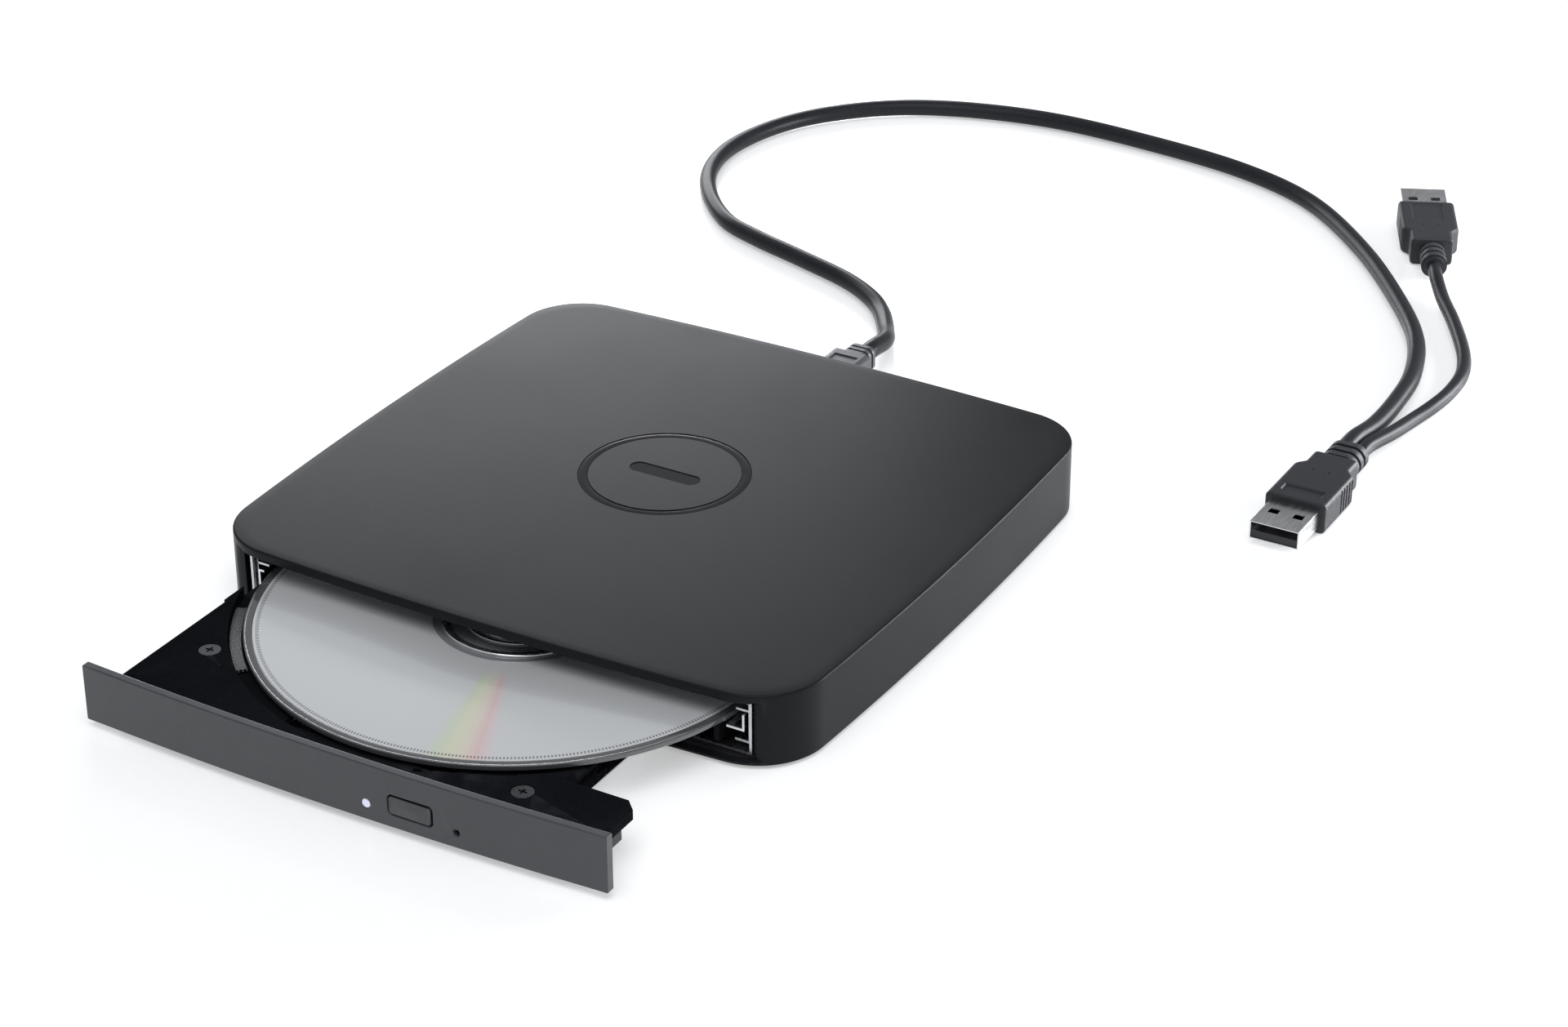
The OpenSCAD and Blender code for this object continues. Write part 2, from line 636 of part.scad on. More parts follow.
module plug_shell() {
    difference() {
        block(-6, 6, -12, 2.4, plug_z - 2.25, plug_z + 2.25);
        block(-5.7, 5.7, -13, 2, plug_z - 1.95, plug_z + 1.95);
        for (sx = [-1, 1]) block(sx * 3 - 1.25, sx * 3 + 1.25, -6.2, -4, plug_z - 4, plug_z + 4);
    }
}

module plug_tongue() {
    block(-5.6, 5.6, -11.7, 1.9, plug_z - 1.9, plug_z - 0.1);
}

// Ribbed relief of half widths a and b between the body and the cord end
module plug_relief(w, h) {
    bar_rect(0, plug_z, w - 1.2, h - 1.2, (h - 1.2) / 2 - 0.1, plug_len, plug_end);
    for (i = [0:2]) bar_rect(0, plug_z, w, h, h / 2 - 0.1, plug_len + 1 + 2.9 * i,
        plug_len + 2.9 + 2.9 * i);
}

module at_main_plug() translate([main_plug_pos[0], main_plug_pos[1], 0]) children();
module at_power_plug() translate([power_plug_pos[0], power_plug_pos[1], 0]) rotate(power_turn)
    children();

module main_plug_relief() color("#26272b") at_main_plug() plug_relief(9.6, 6.6);
module main_plug_body() color("#2c2d31") at_main_plug() plug_body();
module main_plug_shell() color("#cfd1d4") at_main_plug() plug_shell();
module main_plug_tongue() color("#151618") at_main_plug() plug_tongue();
module power_plug_relief() color("#26272b") at_power_plug() plug_relief(6.8, 6.6);
module power_plug_body() color("#2c2d31") at_power_plug() plug_body();
module power_plug_shell() color("#cfd1d4") at_power_plug() plug_shell();
module power_plug_tongue() color("#151618") at_power_plug() plug_tongue();

top_shell();
bottom_cover();
badge_ring();
badge_mark();
rubber_feet();
base_screws();
rating_label();
drive_chassis();
drive_cover();
cover_screws();
latch_post();
rail_guide_left();
rail_guide_right();
slide_rail_left();
slide_rail_right();
main_board();
main_board_chips();
flex_cable();
drive_connector();
bridge_board();
bridge_board_chips();
board_screws();
usb_socket();
tray();
tray_underside();
bezel();
deck_screws();
led_lens();
status_led();
front_board();
eject_switch();
eject_button();
latch_lever();
latch_solenoid();
traverse_frame();
frame_dampers();
guide_rods();
lead_screw();
sled_motor();
pickup_sled();
objective_lens();
spindle_motor();
turntable();
hub_jaws();
disc();
mini_plug_tip();
mini_plug_body();
mini_strain_relief();
main_cord();
main_plug_relief();
main_plug_body();
main_plug_shell();
main_plug_tongue();
power_cord();
power_plug_relief();
power_plug_body();
power_plug_shell();
power_plug_tongue();
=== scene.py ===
"""Looks of a slim external optical drive: tray part-way out with a disc, two-headed lead behind."""
import math

import bmesh
import bpy
import numpy as np
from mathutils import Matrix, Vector


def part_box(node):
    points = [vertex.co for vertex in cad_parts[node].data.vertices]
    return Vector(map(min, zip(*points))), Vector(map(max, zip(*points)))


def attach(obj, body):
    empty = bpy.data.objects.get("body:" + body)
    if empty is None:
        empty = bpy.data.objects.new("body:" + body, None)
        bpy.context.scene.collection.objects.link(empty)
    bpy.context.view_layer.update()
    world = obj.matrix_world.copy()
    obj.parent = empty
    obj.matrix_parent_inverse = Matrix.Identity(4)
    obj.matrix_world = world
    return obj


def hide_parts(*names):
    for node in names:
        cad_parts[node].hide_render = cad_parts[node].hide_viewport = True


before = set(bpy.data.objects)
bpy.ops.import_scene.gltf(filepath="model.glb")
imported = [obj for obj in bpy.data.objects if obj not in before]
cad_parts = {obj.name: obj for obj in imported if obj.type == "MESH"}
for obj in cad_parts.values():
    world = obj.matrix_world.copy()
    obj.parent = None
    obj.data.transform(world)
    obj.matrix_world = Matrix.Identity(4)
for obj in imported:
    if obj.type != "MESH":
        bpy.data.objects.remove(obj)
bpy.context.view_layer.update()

MM = 0.001
TURN = 2 * math.pi


def corners(node):
    """Lowest and highest corner of a CAD node, in millimetres."""
    low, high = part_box(node)
    return np.array(low) / MM, np.array(high) / MM


def new_object(name, data):
    """Object in the scene holding the data."""
    made = bpy.data.objects.new(name, data)
    bpy.context.scene.collection.objects.link(made)
    return made


# ---------------------------------------------------------------- camera

CAMERA_AZIMUTH = math.radians(29.84)
CAMERA_ELEVATION = math.radians(28.705)
CAMERA_DISTANCE = 0.818577
CAMERA_AIM = Vector((0.024059, 0.013746, 0.008686))
CAMERA_LENS = 82.643
CAMERA_SENSOR = 36
CAMERA_CLIP = (0.02, 40)


def add_camera():
    """Camera on a sphere round its aim point, looking back along the radius."""
    back = Vector((math.sin(CAMERA_AZIMUTH) * math.cos(CAMERA_ELEVATION),
                   -math.cos(CAMERA_AZIMUTH) * math.cos(CAMERA_ELEVATION),
                   math.sin(CAMERA_ELEVATION)))
    data = bpy.data.cameras.new("camera")
    data.sensor_width = CAMERA_SENSOR
    data.lens = CAMERA_LENS
    data.clip_start, data.clip_end = CAMERA_CLIP
    camera = new_object("camera", data)
    camera.location = CAMERA_AIM + back * CAMERA_DISTANCE
    camera.rotation_euler = (-back).to_track_quat("-Z", "Y").to_euler()
    bpy.context.scene.camera = camera


add_camera()

# ---------------------------------------------------------------- material parts


def new_group(name, inputs, outputs):
    """Empty shader group with named sockets: inputs as (name, kind, value), outputs as (name, kind)."""
    kinds = {"value": "NodeSocketFloat", "colour": "NodeSocketColor", "vector": "NodeSocketVector"}
    tree = bpy.data.node_groups.new(name, "ShaderNodeTree")
    for label, kind, value in inputs:
        socket = tree.interface.new_socket(label, in_out="INPUT", socket_type=kinds[kind])
        socket.default_value = value
    for label, kind in outputs:
        tree.interface.new_socket(label, in_out="OUTPUT", socket_type=kinds[kind])
    return tree, tree.nodes.new("NodeGroupInput"), tree.nodes.new("NodeGroupOutput")


def feed(tree, socket, value):
    """Sets a socket to a number or colour, or links it from another socket."""
    if isinstance(value, bpy.types.NodeSocket):
        tree.links.new(value, socket)
    else:
        socket.default_value = value


def math_node(tree, operation, *values):
    node = tree.nodes.new("ShaderNodeMath")
    node.operation = operation
    for socket, value in zip(node.inputs, values):
        feed(tree, socket, value)
    return node.outputs[0]


def noise_node(tree, coordinates, scale, detail=3.0, distortion=0.0):
    node = tree.nodes.new("ShaderNodeTexNoise")
    feed(tree, node.inputs["Vector"], coordinates)
    feed(tree, node.inputs["Scale"], scale)
    node.inputs["Detail"].default_value = detail
    node.inputs["Distortion"].default_value = distortion
    return node.outputs["Fac"]


def range_node(tree, value, low, high, new_low, new_high, smooth=False):
    node = tree.nodes.new("ShaderNodeMapRange")
    if smooth:
        node.interpolation_type = "SMOOTHSTEP"
    for label, number in (("Value", value), ("From Min", low), ("From Max", high),
                          ("To Min", new_low), ("To Max", new_high)):
        feed(tree, node.inputs[label], number)
    return node.outputs["Result"]


def mix_colours(tree, share, first, second):
    node = tree.nodes.new("ShaderNodeMix")
    node.data_type = "RGBA"
    feed(tree, node.inputs[0], share)
    feed(tree, node.inputs[6], first)
    feed(tree, node.inputs[7], second)
    return node.outputs[2]


def object_coordinates(tree):
    return tree.nodes.new("ShaderNodeTexCoord").outputs["Object"]


TONE_INPUTS = [("Dark colour", "colour", (0, 0, 0, 1)), ("Light colour", "colour", (1, 1, 1, 1)),
               ("Low roughness", "value", 0.3), ("High roughness", "value", 0.5)]
TONE_OUTPUTS = [("Colour", "colour"), ("Roughness", "value"), ("Height", "value")]


def tone_outputs(tree, given, out, fine, coarse, rough_from_coarse):
    """Colour from the fine and the coarse noise mixed six to four, roughness from the coarse noise or
    from that mix, height from the fine noise."""
    tone = math_node(tree, "ADD", math_node(tree, "MULTIPLY", fine, 0.6),
                     math_node(tree, "MULTIPLY", coarse, 0.4))
    share = range_node(tree, tone, 0.35, 0.65, 0.0, 1.0)
    colour = mix_colours(tree, share, given.outputs["Dark colour"], given.outputs["Light colour"])
    source, low, high = (coarse, 0.3, 0.7) if rough_from_coarse else (tone, 0.35, 0.65)
    rough = range_node(tree, source, low, high, given.outputs["Low roughness"],
                       given.outputs["High roughness"])
    for label, socket in (("Colour", colour), ("Roughness", rough), ("Height", fine)):
        tree.links.new(socket, out.inputs[label])


def moulded_grain_group():
    """Moulded plastic skin: fine grain for height and tone, wide soft patches for tone and roughness."""
    tree, given, out = new_group("moulded grain", [
        ("Grain scale", "value", 4000.0), ("Patch scale", "value", 30.0), *TONE_INPUTS], TONE_OUTPUTS)
    place = object_coordinates(tree)
    grain = noise_node(tree, place, given.outputs["Grain scale"], 2.0)
    patch = noise_node(tree, place, given.outputs["Patch scale"], 4.0, 0.4)
    tone_outputs(tree, given, out, grain, patch, True)
    return tree


def edge_wear_and_highlight_group():
    """Edge wear and painted highlight: where the surface turns outwards, broken up by noise, a lighter
    colour shows, partly as wear and partly as a painted highlight along the edges.
    """
    tree, given, out = new_group("edge rub", [
        ("Colour", "colour", (0, 0, 0, 1)), ("Rubbed colour", "colour", (1, 1, 1, 1)),
        ("Amount", "value", 0.5), ("Break-up scale", "value", 300.0)],
        [("Colour", "colour")])
    point = tree.nodes.new("ShaderNodeNewGeometry").outputs["Pointiness"]
    edge = range_node(tree, point, 0.51, 0.58, 0.0, 1.0, smooth=True)
    broken = noise_node(tree, object_coordinates(tree), given.outputs["Break-up scale"], 4.0)
    patchy = range_node(tree, broken, 0.35, 0.65, 0.3, 1.0)
    # Mask of the lighter edges: partly wear, partly a painted highlight.
    mask = math_node(tree, "MULTIPLY", math_node(tree, "MULTIPLY", edge, patchy),
                     given.outputs["Amount"])
    colour = mix_colours(tree, mask, given.outputs["Colour"], given.outputs["Rubbed colour"])
    tree.links.new(colour, out.inputs["Colour"])
    return tree


def drawn_metal_group():
    """Drawn or rolled metal: noise stretched along one direction for tone, roughness and height."""
    tree, given, out = new_group("drawn metal", [
        ("Line scale", "value", 1500.0), ("Stretch", "vector", (1.0, 0.03, 1.0)), *TONE_INPUTS],
        TONE_OUTPUTS)
    stretched = tree.nodes.new("ShaderNodeVectorMath")
    stretched.operation = "MULTIPLY"
    tree.links.new(object_coordinates(tree), stretched.inputs[0])
    tree.links.new(given.outputs["Stretch"], stretched.inputs[1])
    lines = noise_node(tree, stretched.outputs[0], given.outputs["Line scale"], 3.0)
    clouds = noise_node(tree, object_coordinates(tree), 90.0, 3.0)
    tone_outputs(tree, given, out, lines, clouds, False)
    return tree


MOULDED_GRAIN = moulded_grain_group()
EDGE_WEAR_AND_HIGHLIGHT = edge_wear_and_highlight_group()
DRAWN_METAL = drawn_metal_group()


def rgb(red, green, blue):
    return (red, green, blue, 1.0)


def new_finish(name, **constants):
    """Material with one Principled shader; constants are set on the shader's own sockets."""
    material = bpy.data.materials.new(name)
    material.use_nodes = True
    shader = material.node_tree.nodes["Principled BSDF"]
    for label, value in constants.items():
        shader.inputs[label.replace("_", " ")].default_value = value
    return material, shader


def put_group(material, group, **values):
    """Places a group in a material and gives its inputs their values or links."""
    node = material.node_tree.nodes.new("ShaderNodeGroup")
    node.node_tree = group
    for label, value in values.items():
        feed(material.node_tree, node.inputs[label.replace("_", " ")], value)
    return node


def raise_surface(material, shader, height, depth):
    """Bump from a height socket, depth in metres."""
    bump = material.node_tree.nodes.new("ShaderNodeBump")
    bump.inputs["Distance"].default_value = depth
    bump.inputs["Strength"].default_value = 1.0
    material.node_tree.links.new(height, bump.inputs["Height"])
    material.node_tree.links.new(bump.outputs["Normal"], shader.inputs["Normal"])


def dress(material, shader, group, colour, depth):
    """Feeds the shader a colour, and the group's roughness and height."""
    material.node_tree.links.new(colour, shader.inputs["Base Color"])
    material.node_tree.links.new(group.outputs["Roughness"], shader.inputs["Roughness"])
    raise_surface(material, shader, group.outputs["Height"], depth)


def moulded_plastic(name, dark, light, rough, grain_scale=4000.0, grain_depth=0.00001,
                    worn_and_highlight=None, **constants):
    """Plastic or rubber skin from the moulded grain, with outward edges lightened by wear and by a
    painted highlight if a colour is given.
    """
    material, shader = new_finish(name, **constants)
    grain = put_group(material, MOULDED_GRAIN, Grain_scale=grain_scale, Dark_colour=rgb(*dark),
                      Light_colour=rgb(*light), Low_roughness=rough[0], High_roughness=rough[1])
    colour = grain.outputs["Colour"]
    # Lighter outward edges: partly wear, partly a painted highlight.
    if worn_and_highlight:
        wear_and_highlight = put_group(material, EDGE_WEAR_AND_HIGHLIGHT, Colour=colour, Rubbed_colour=rgb(*worn_and_highlight))
        colour = wear_and_highlight.outputs["Colour"]
    dress(material, shader, grain, colour, grain_depth)
    return material


def worked_metal(name, dark, light, rough, stretch=(1.0, 0.03, 1.0), line_scale=1500.0,
                 line_depth=0.000004, **constants):
    """Metal skin from the drawn lines."""
    material, shader = new_finish(name, **{"Metallic": 1.0, **constants})
    drawn = put_group(material, DRAWN_METAL, Line_scale=line_scale, Stretch=stretch,
                      Dark_colour=rgb(*dark), Light_colour=rgb(*light),
                      Low_roughness=rough[0], High_roughness=rough[1])
    dress(material, shader, drawn, drawn.outputs["Colour"], line_depth)
    return material


SHELL_SATIN = moulded_plastic("charcoal satin shell", (0.007, 0.0076, 0.0095), (0.013, 0.0138, 0.0165),
                              (0.34, 0.42), 5200.0, 0.000012, Specular_IOR_Level=0.12)
BASE_GRAIN = moulded_plastic("black grained base", (0.014, 0.014, 0.016), (0.022, 0.022, 0.024),
                             (0.5, 0.62), 2600.0, 0.00003)
BADGE_GLOSS = moulded_plastic("black badge gloss", (0.004, 0.004, 0.005), (0.007, 0.007, 0.008),
                              (0.1, 0.18), 900.0, 0.000001, Coat_Weight=0.15, Coat_Roughness=0.04,
                              Specular_IOR_Level=0.3)
FOOT_RUBBER = moulded_plastic("foot rubber", (0.012, 0.012, 0.013), (0.022, 0.022, 0.023),
                              (0.7, 0.85), 3000.0, 0.00003)
LABEL_FILM = moulded_plastic("blank label film", (0.48, 0.49, 0.5), (0.55, 0.56, 0.57),
                             (0.3, 0.4), 1500.0, 0.000004)
# The worn colours given to the tray, bezel and button also paint a highlight on their outward edges.
TRAY_GRAIN = moulded_plastic("black grained tray", (0.005, 0.0052, 0.0064), (0.01, 0.0105, 0.0125),
                             (0.42, 0.54), 3600.0, 0.000016, worn_and_highlight=(0.03, 0.031, 0.036),
                             Specular_IOR_Level=0.0)
BEZEL_SATIN = moulded_plastic("bezel satin", (0.04, 0.041, 0.046), (0.048, 0.049, 0.055),
                              (0.3, 0.36), 5200.0, 0.000006, worn_and_highlight=(0.1, 0.1, 0.11))
BUTTON_SATIN = moulded_plastic("button satin", (0.024, 0.025, 0.028), (0.031, 0.032, 0.036),
                               (0.3, 0.36), 5200.0, 0.000006, worn_and_highlight=(0.12, 0.12, 0.13))
SLOT_BLACK = moulded_plastic("moulded black", (0.008, 0.008, 0.009), (0.014, 0.014, 0.016),
                             (0.4, 0.55), 3000.0, 0.00001)
TURNTABLE_BLACK = moulded_plastic("turntable black", (0.006, 0.006, 0.007), (0.012, 0.012, 0.014),
                                  (0.22, 0.34), 3000.0, 0.000004)
LEVER_NYLON = moulded_plastic("lever nylon", (0.6, 0.6, 0.56), (0.7, 0.7, 0.66),
                              (0.4, 0.5), 1500.0, 0.00001, Subsurface_Weight=0.1)
DAMPER_RUBBER = moulded_plastic("damper rubber", (0.03, 0.05, 0.065), (0.05, 0.075, 0.095),
                                (0.6, 0.8), 1500.0, 0.00002)
BOARD_MASK = moulded_plastic("board solder mask", (0.012, 0.09, 0.035), (0.02, 0.13, 0.05),
                             (0.25, 0.35), 700.0, 0.000006)
FLEX_FILM = moulded_plastic("amber flex film", (0.36, 0.17, 0.035), (0.5, 0.25, 0.06),
                            (0.25, 0.35), 600.0, 0.000004)
SLED_CASTING = worked_metal("sled casting", (0.12, 0.125, 0.14), (0.2, 0.21, 0.23), (0.4, 0.55),
                            (1.0, 1.0, 1.0), 1800.0, 0.00001)
SHEET_STEEL = worked_metal("zinc sheet", (0.5, 0.51, 0.53), (0.66, 0.67, 0.69), (0.22, 0.36),
                           (1.0, 0.05, 1.0))
RAIL_STEEL = worked_metal("bright rail steel", (0.66, 0.67, 0.69), (0.8, 0.81, 0.83), (0.12, 0.24))
SCREW_STEEL = worked_metal("screw steel", (0.32, 0.33, 0.35), (0.46, 0.47, 0.49), (0.28, 0.4),
                           (1.0, 1.0, 0.1), 2400.0)
BLACK_SCREW = worked_metal("black screw", (0.03, 0.03, 0.034), (0.06, 0.06, 0.068), (0.3, 0.42),
                           (1.0, 1.0, 0.1), 2400.0)
ROD_CHROME = worked_metal("ground rod", (0.7, 0.71, 0.73), (0.82, 0.83, 0.85), (0.08, 0.16),
                          (1.0, 0.02, 1.0), 2500.0)
HUB_CHROME = worked_metal("hub chrome", (0.78, 0.79, 0.8), (0.95, 0.96, 0.97), (0.2, 0.32),
                          (1.0, 1.0, 1.0), 500.0, 0.000002)
PLUG_STEEL = worked_metal("plug nickel", (0.5, 0.5, 0.5), (0.68, 0.68, 0.69), (0.24, 0.38),
                          (1.0, 0.08, 1.0), 2600.0, 0.000003)
# The worn colours given to the plug moulds also paint a highlight on their outward edges.
PLUG_MOULD = moulded_plastic("soft plug mould", (0.02, 0.0205, 0.024), (0.031, 0.032, 0.036),
                             (0.42, 0.54), 2600.0, 0.00002, worn_and_highlight=(0.07, 0.072, 0.08),
                             Specular_IOR_Level=0.25)
MINI_MOULD = moulded_plastic("mini plug mould", (0.05, 0.051, 0.056), (0.066, 0.068, 0.074),
                             (0.34, 0.46), 2600.0, 0.00002, worn_and_highlight=(0.12, 0.12, 0.13))
CORD_JACKET = moulded_plastic("cord jacket", (0.014, 0.0147, 0.017), (0.022, 0.023, 0.0265),
                              (0.3, 0.4), 1800.0, 0.00003, Specular_IOR_Level=0.12)
RIB_RATE = TURN / 0.0013
RIB_DEPTH = 0.0001


def hatched_pad():
    """Crossing diagonal ribs: the product of two sines, at plus and minus 45 degrees, for tone and
    height."""
    material, shader = new_finish("hatched recess pad", Roughness=0.35)
    tree = material.node_tree
    split = tree.nodes.new("ShaderNodeSeparateXYZ")
    tree.links.new(object_coordinates(tree), split.inputs[0])
    x, y = split.outputs[0], split.outputs[1]
    waves = [math_node(tree, "SINE", math_node(tree, "MULTIPLY", math_node(tree, way, x, y), RIB_RATE))
             for way in ("ADD", "SUBTRACT")]
    ribs = range_node(tree, math_node(tree, "MULTIPLY", *waves), -0.1, 0.5, 0.0, 1.0, True)
    colour = mix_colours(tree, ribs, rgb(0.008, 0.0085, 0.009), rgb(0.17, 0.172, 0.175))
    tree.links.new(colour, shader.inputs["Base Color"])
    raise_surface(material, shader, ribs, RIB_DEPTH)
    return material


PAD_GREY = hatched_pad()
LED_DIFFUSER = moulded_plastic("light diffuser", (0.74, 0.72, 0.86), (0.84, 0.83, 0.93),
                               (0.12, 0.2), 1500.0, 0.000003, Subsurface_Weight=0.2,
                               Emission_Color=rgb(0.8, 0.78, 1.0), Emission_Strength=0.25)
LENS_GLASS, _ = new_finish("coated lens", Base_Color=rgb(0.35, 0.28, 0.7), Roughness=0.05,
                           Transmission_Weight=0.6, IOR=1.6, Coat_Weight=1.0)

# ---------------------------------------------------------------- shapes


def skin(grid, wrap_rows=False):
    """Quads between neighbours on a (rows, columns, 3) grid of points whose columns run round. Unless
    the rows run round too, the first and last are closed by a fan to their mean point."""
    rows, columns = grid.shape[:2]
    points = grid.reshape(-1, 3)
    index = np.arange(rows * columns).reshape(rows, columns)
    if wrap_rows:
        index = np.vstack([index, index[:1]])
    index = np.hstack([index, index[:, :1]])
    quads = np.stack([index[:-1, :-1], index[:-1, 1:], index[1:, 1:], index[1:, :-1]], -1).reshape(-1, 4)
    fans = []
    if not wrap_rows:
        for row, flip in ((0, True), (-1, False)):
            middle = np.full(index.shape[1] - 1, len(points))
            points = np.vstack([points, grid[row].mean(0)])
            first, second = index[row, :-1], index[row, 1:]
            fan = (second, first, middle) if flip else (first, second, middle)
            fans.append(np.stack(fan, -1))
    return points, [quads, *fans]


def joined(*shapes):
    """Several shapes as one list of points and faces."""
    points, faces, start = [], [], 0
    for shape_points, shape_faces in shapes:
        points.append(shape_points)
        faces += [block + start for block in shape_faces]
        start += len(shape_points)
    return np.vstack(points), faces


def add_piece(name, shape, material, body, stands_for=(), sharp=35.0):
    """Makes the mesh object, turns its faces outwards, smooths it up to the sharp angle and puts it on
    its body."""
    points, faces = shape
    mesh = bpy.data.meshes.new(name)
    listed = [face for block in faces for face in block.tolist()]
    mesh.from_pydata((points * MM).tolist(), [], listed)
    work = bmesh.new()
    work.from_mesh(mesh)
    bmesh.ops.recalc_face_normals(work, faces=work.faces)
    work.to_mesh(mesh)
    work.free()
    mesh.polygons.foreach_set("use_smooth", np.ones(len(mesh.polygons), bool))
    mesh.set_sharp_from_angle(angle=math.radians(sharp))
    mesh.materials.append(material)
    piece = new_object(name, mesh)
    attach(piece, body)
    if stands_for:
        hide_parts(*stands_for)
    return piece


def rounded(outline, radius, steps=4):
    """Closed outline with each corner replaced by an arc: the arc's centre lies on the corner's bisector
    and its ends at radius / tan(half the corner) along the two sides."""
    here = np.asarray(outline, float)
    before = np.roll(here, 1, 0) - here
    after = np.roll(here, -1, 0) - here
    before /= np.linalg.norm(before, axis=1, keepdims=True)
    after /= np.linalg.norm(after, axis=1, keepdims=True)
    half = np.arccos(np.clip((before * after).sum(1), -1, 1)) / 2
    bisector = before + after
    bisector /= np.linalg.norm(bisector, axis=1, keepdims=True)
    radii = np.broadcast_to(np.asarray(radius, float), half.shape)
    centre = here + bisector * (radii / np.sin(half))[:, None]
    start = here + before * (radii / np.tan(half))[:, None] - centre
    stop = here + after * (radii / np.tan(half))[:, None] - centre
    share = np.linspace(0, 1, steps + 1)[None, :, None]
    sweep = (math.pi - 2 * half)[:, None, None]
    arc = (np.sin((1 - share) * sweep) * start[:, None]
           + np.sin(share * sweep) * stop[:, None]) / np.sin(sweep)
    return (centre[:, None] + arc).reshape(-1, 2)


def around(profile, centre, angle):
    """Grid of a profile of (radius, height) at each angle round a vertical axis at centre."""
    profile = np.asarray(profile, float)
    radius, height = profile[:, :1], profile[:, 1:]
    return np.stack([centre[0] + radius * np.cos(angle), centre[1] + radius * np.sin(angle),
                     height + 0 * angle], -1)


def turned(profile, centre, steps=240):
    """Closed profile carried once round."""
    return skin(around(profile, centre, np.linspace(0, TURN, steps, endpoint=False)), wrap_rows=True)


def sector(profile, centre, start, stop, steps=60):
    """Closed profile carried from one angle to another, in degrees, with end faces."""
    angle = np.radians(np.linspace(start, stop, steps))
    return skin(around(profile, centre, angle).transpose(1, 0, 2))


def ring_profile(inner, outer, low, high, edge):
    """Upright rectangle of (radius, height) with rounded corners."""
    return rounded([(inner, low), (outer, low), (outer, high), (inner, high)], edge)


def ease(value, start, stop):
    """Smooth step from 0 at start to 1 at stop."""
    t = np.clip((value - start) / (stop - start), 0, 1)
    return t * t * (3 - 2 * t)


def window(value, start, stop, soft):
    """1 between start and stop, falling to 0 over soft inside both ends."""
    return ease(value, start, start + soft) * (1 - ease(value, stop - soft, stop))


# ---------------------------------------------------------------- cords

CORD_SUBDIVISIONS = 14
MAIN_CORD_DIAMETER = 0.0046
POWER_CORD_DIAMETER = 0.0036
MAIN_ROUTE = [(-0.5, 96, 7.5), (-0.5, 101, 7.5), (-1.5, 109, 6), (-6, 118, 3.6), (-13, 129, 2.3),
              (-20, 136, 2.3), (-31, 142.5, 2.3), (-48, 148.5, 2.3), (-65, 154, 2.3), (-78, 160, 2.3),
              (-91, 173, 2.3), (-99.5, 188, 2.3), (-102.5, 205, 2.3), (-99, 224, 2.3), (-90, 240, 2.3),
              (-75, 254, 2.3), (-55, 263, 2.3), (-30, 267.5, 2.3), (0, 266, 2.3), (30, 261, 2.3),
              (55, 250, 2.3), (78, 229, 2.3), (97, 205.5, 2.3), (111, 184, 2.3), (118, 164, 2.3),
              (120, 147, 2.3), (120.4, 133, 2.7), (119.6, 122, 3.8), (119.6, 114.5, 3.8)]
POWER_PLUG_AT = np.array([86.3, 255.0])
POWER_PLUG_TURN = math.radians(205)
PLUG_LENGTH = 34.5
POWER_WAY = np.array([-math.sin(POWER_PLUG_TURN), math.cos(POWER_PLUG_TURN)])
POWER_TIP = POWER_PLUG_AT + PLUG_LENGTH * POWER_WAY
POWER_LEAD_IN = POWER_TIP + 6 * POWER_WAY
POWER_ROUTE = [(123.8, 114.5, 3.8), (123.8, 120, 3.8), (125.6, 131, 2.8), (126.8, 142, 1.8),
               (128.4, 151, 1.8), (129.2, 160, 1.8), (128.6, 170, 1.8), (126, 179, 1.8),
               (121.5, 188.5, 1.8), (115, 200, 1.8), (108.5, 210, 2.2),
               (*POWER_LEAD_IN, 3.8), (*POWER_TIP, 3.8)]


def smooth_route(route):
    """Catmull-Rom curve through the route's points, each span cut into equal steps of its parameter."""
    points = np.array(route, float) * MM
    padded = np.vstack([points[:1], points, points[-1:]])
    a, b, c, d = padded[:-3], padded[1:-2], padded[2:-1], padded[3:]
    t = np.arange(CORD_SUBDIVISIONS)[None, :, None] / CORD_SUBDIVISIONS
    a, b, c, d = (p[:, None] for p in (a, b, c, d))
    curve = 0.5 * (2 * b + (c - a) * t + (2 * a - 5 * b + 4 * c - d) * t ** 2
                   + (3 * b - a - 3 * c + d) * t ** 3)
    return np.vstack([curve.reshape(-1, 3), points[-1:]])


def add_cord(name, route, diameter, node):
    """Round jacket along the smoothed route, as one open spline."""
    line = smooth_route(route)
    data = bpy.data.curves.new(name, "CURVE")
    data.dimensions = "3D"
    data.bevel_depth = diameter / 2
    data.bevel_resolution = 6
    data.use_fill_caps = True
    spline = data.splines.new("POLY")
    spline.points.add(len(line) - 1)
    spline.points.foreach_set("co", np.insert(line, 3, 1.0, 1).ravel())
    spline.use_smooth = True
    data.materials.append(CORD_JACKET)
    cord = new_object(name, data)
    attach(cord, "housing")
    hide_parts(node)
    return cord, line


main_lead, main_line = add_cord("main_lead", MAIN_ROUTE, MAIN_CORD_DIAMETER, "main_cord")
power_lead, power_line = add_cord("power_lead", POWER_ROUTE, POWER_CORD_DIAMETER, "power_cord")

# ---------------------------------------------------------------- housing shell

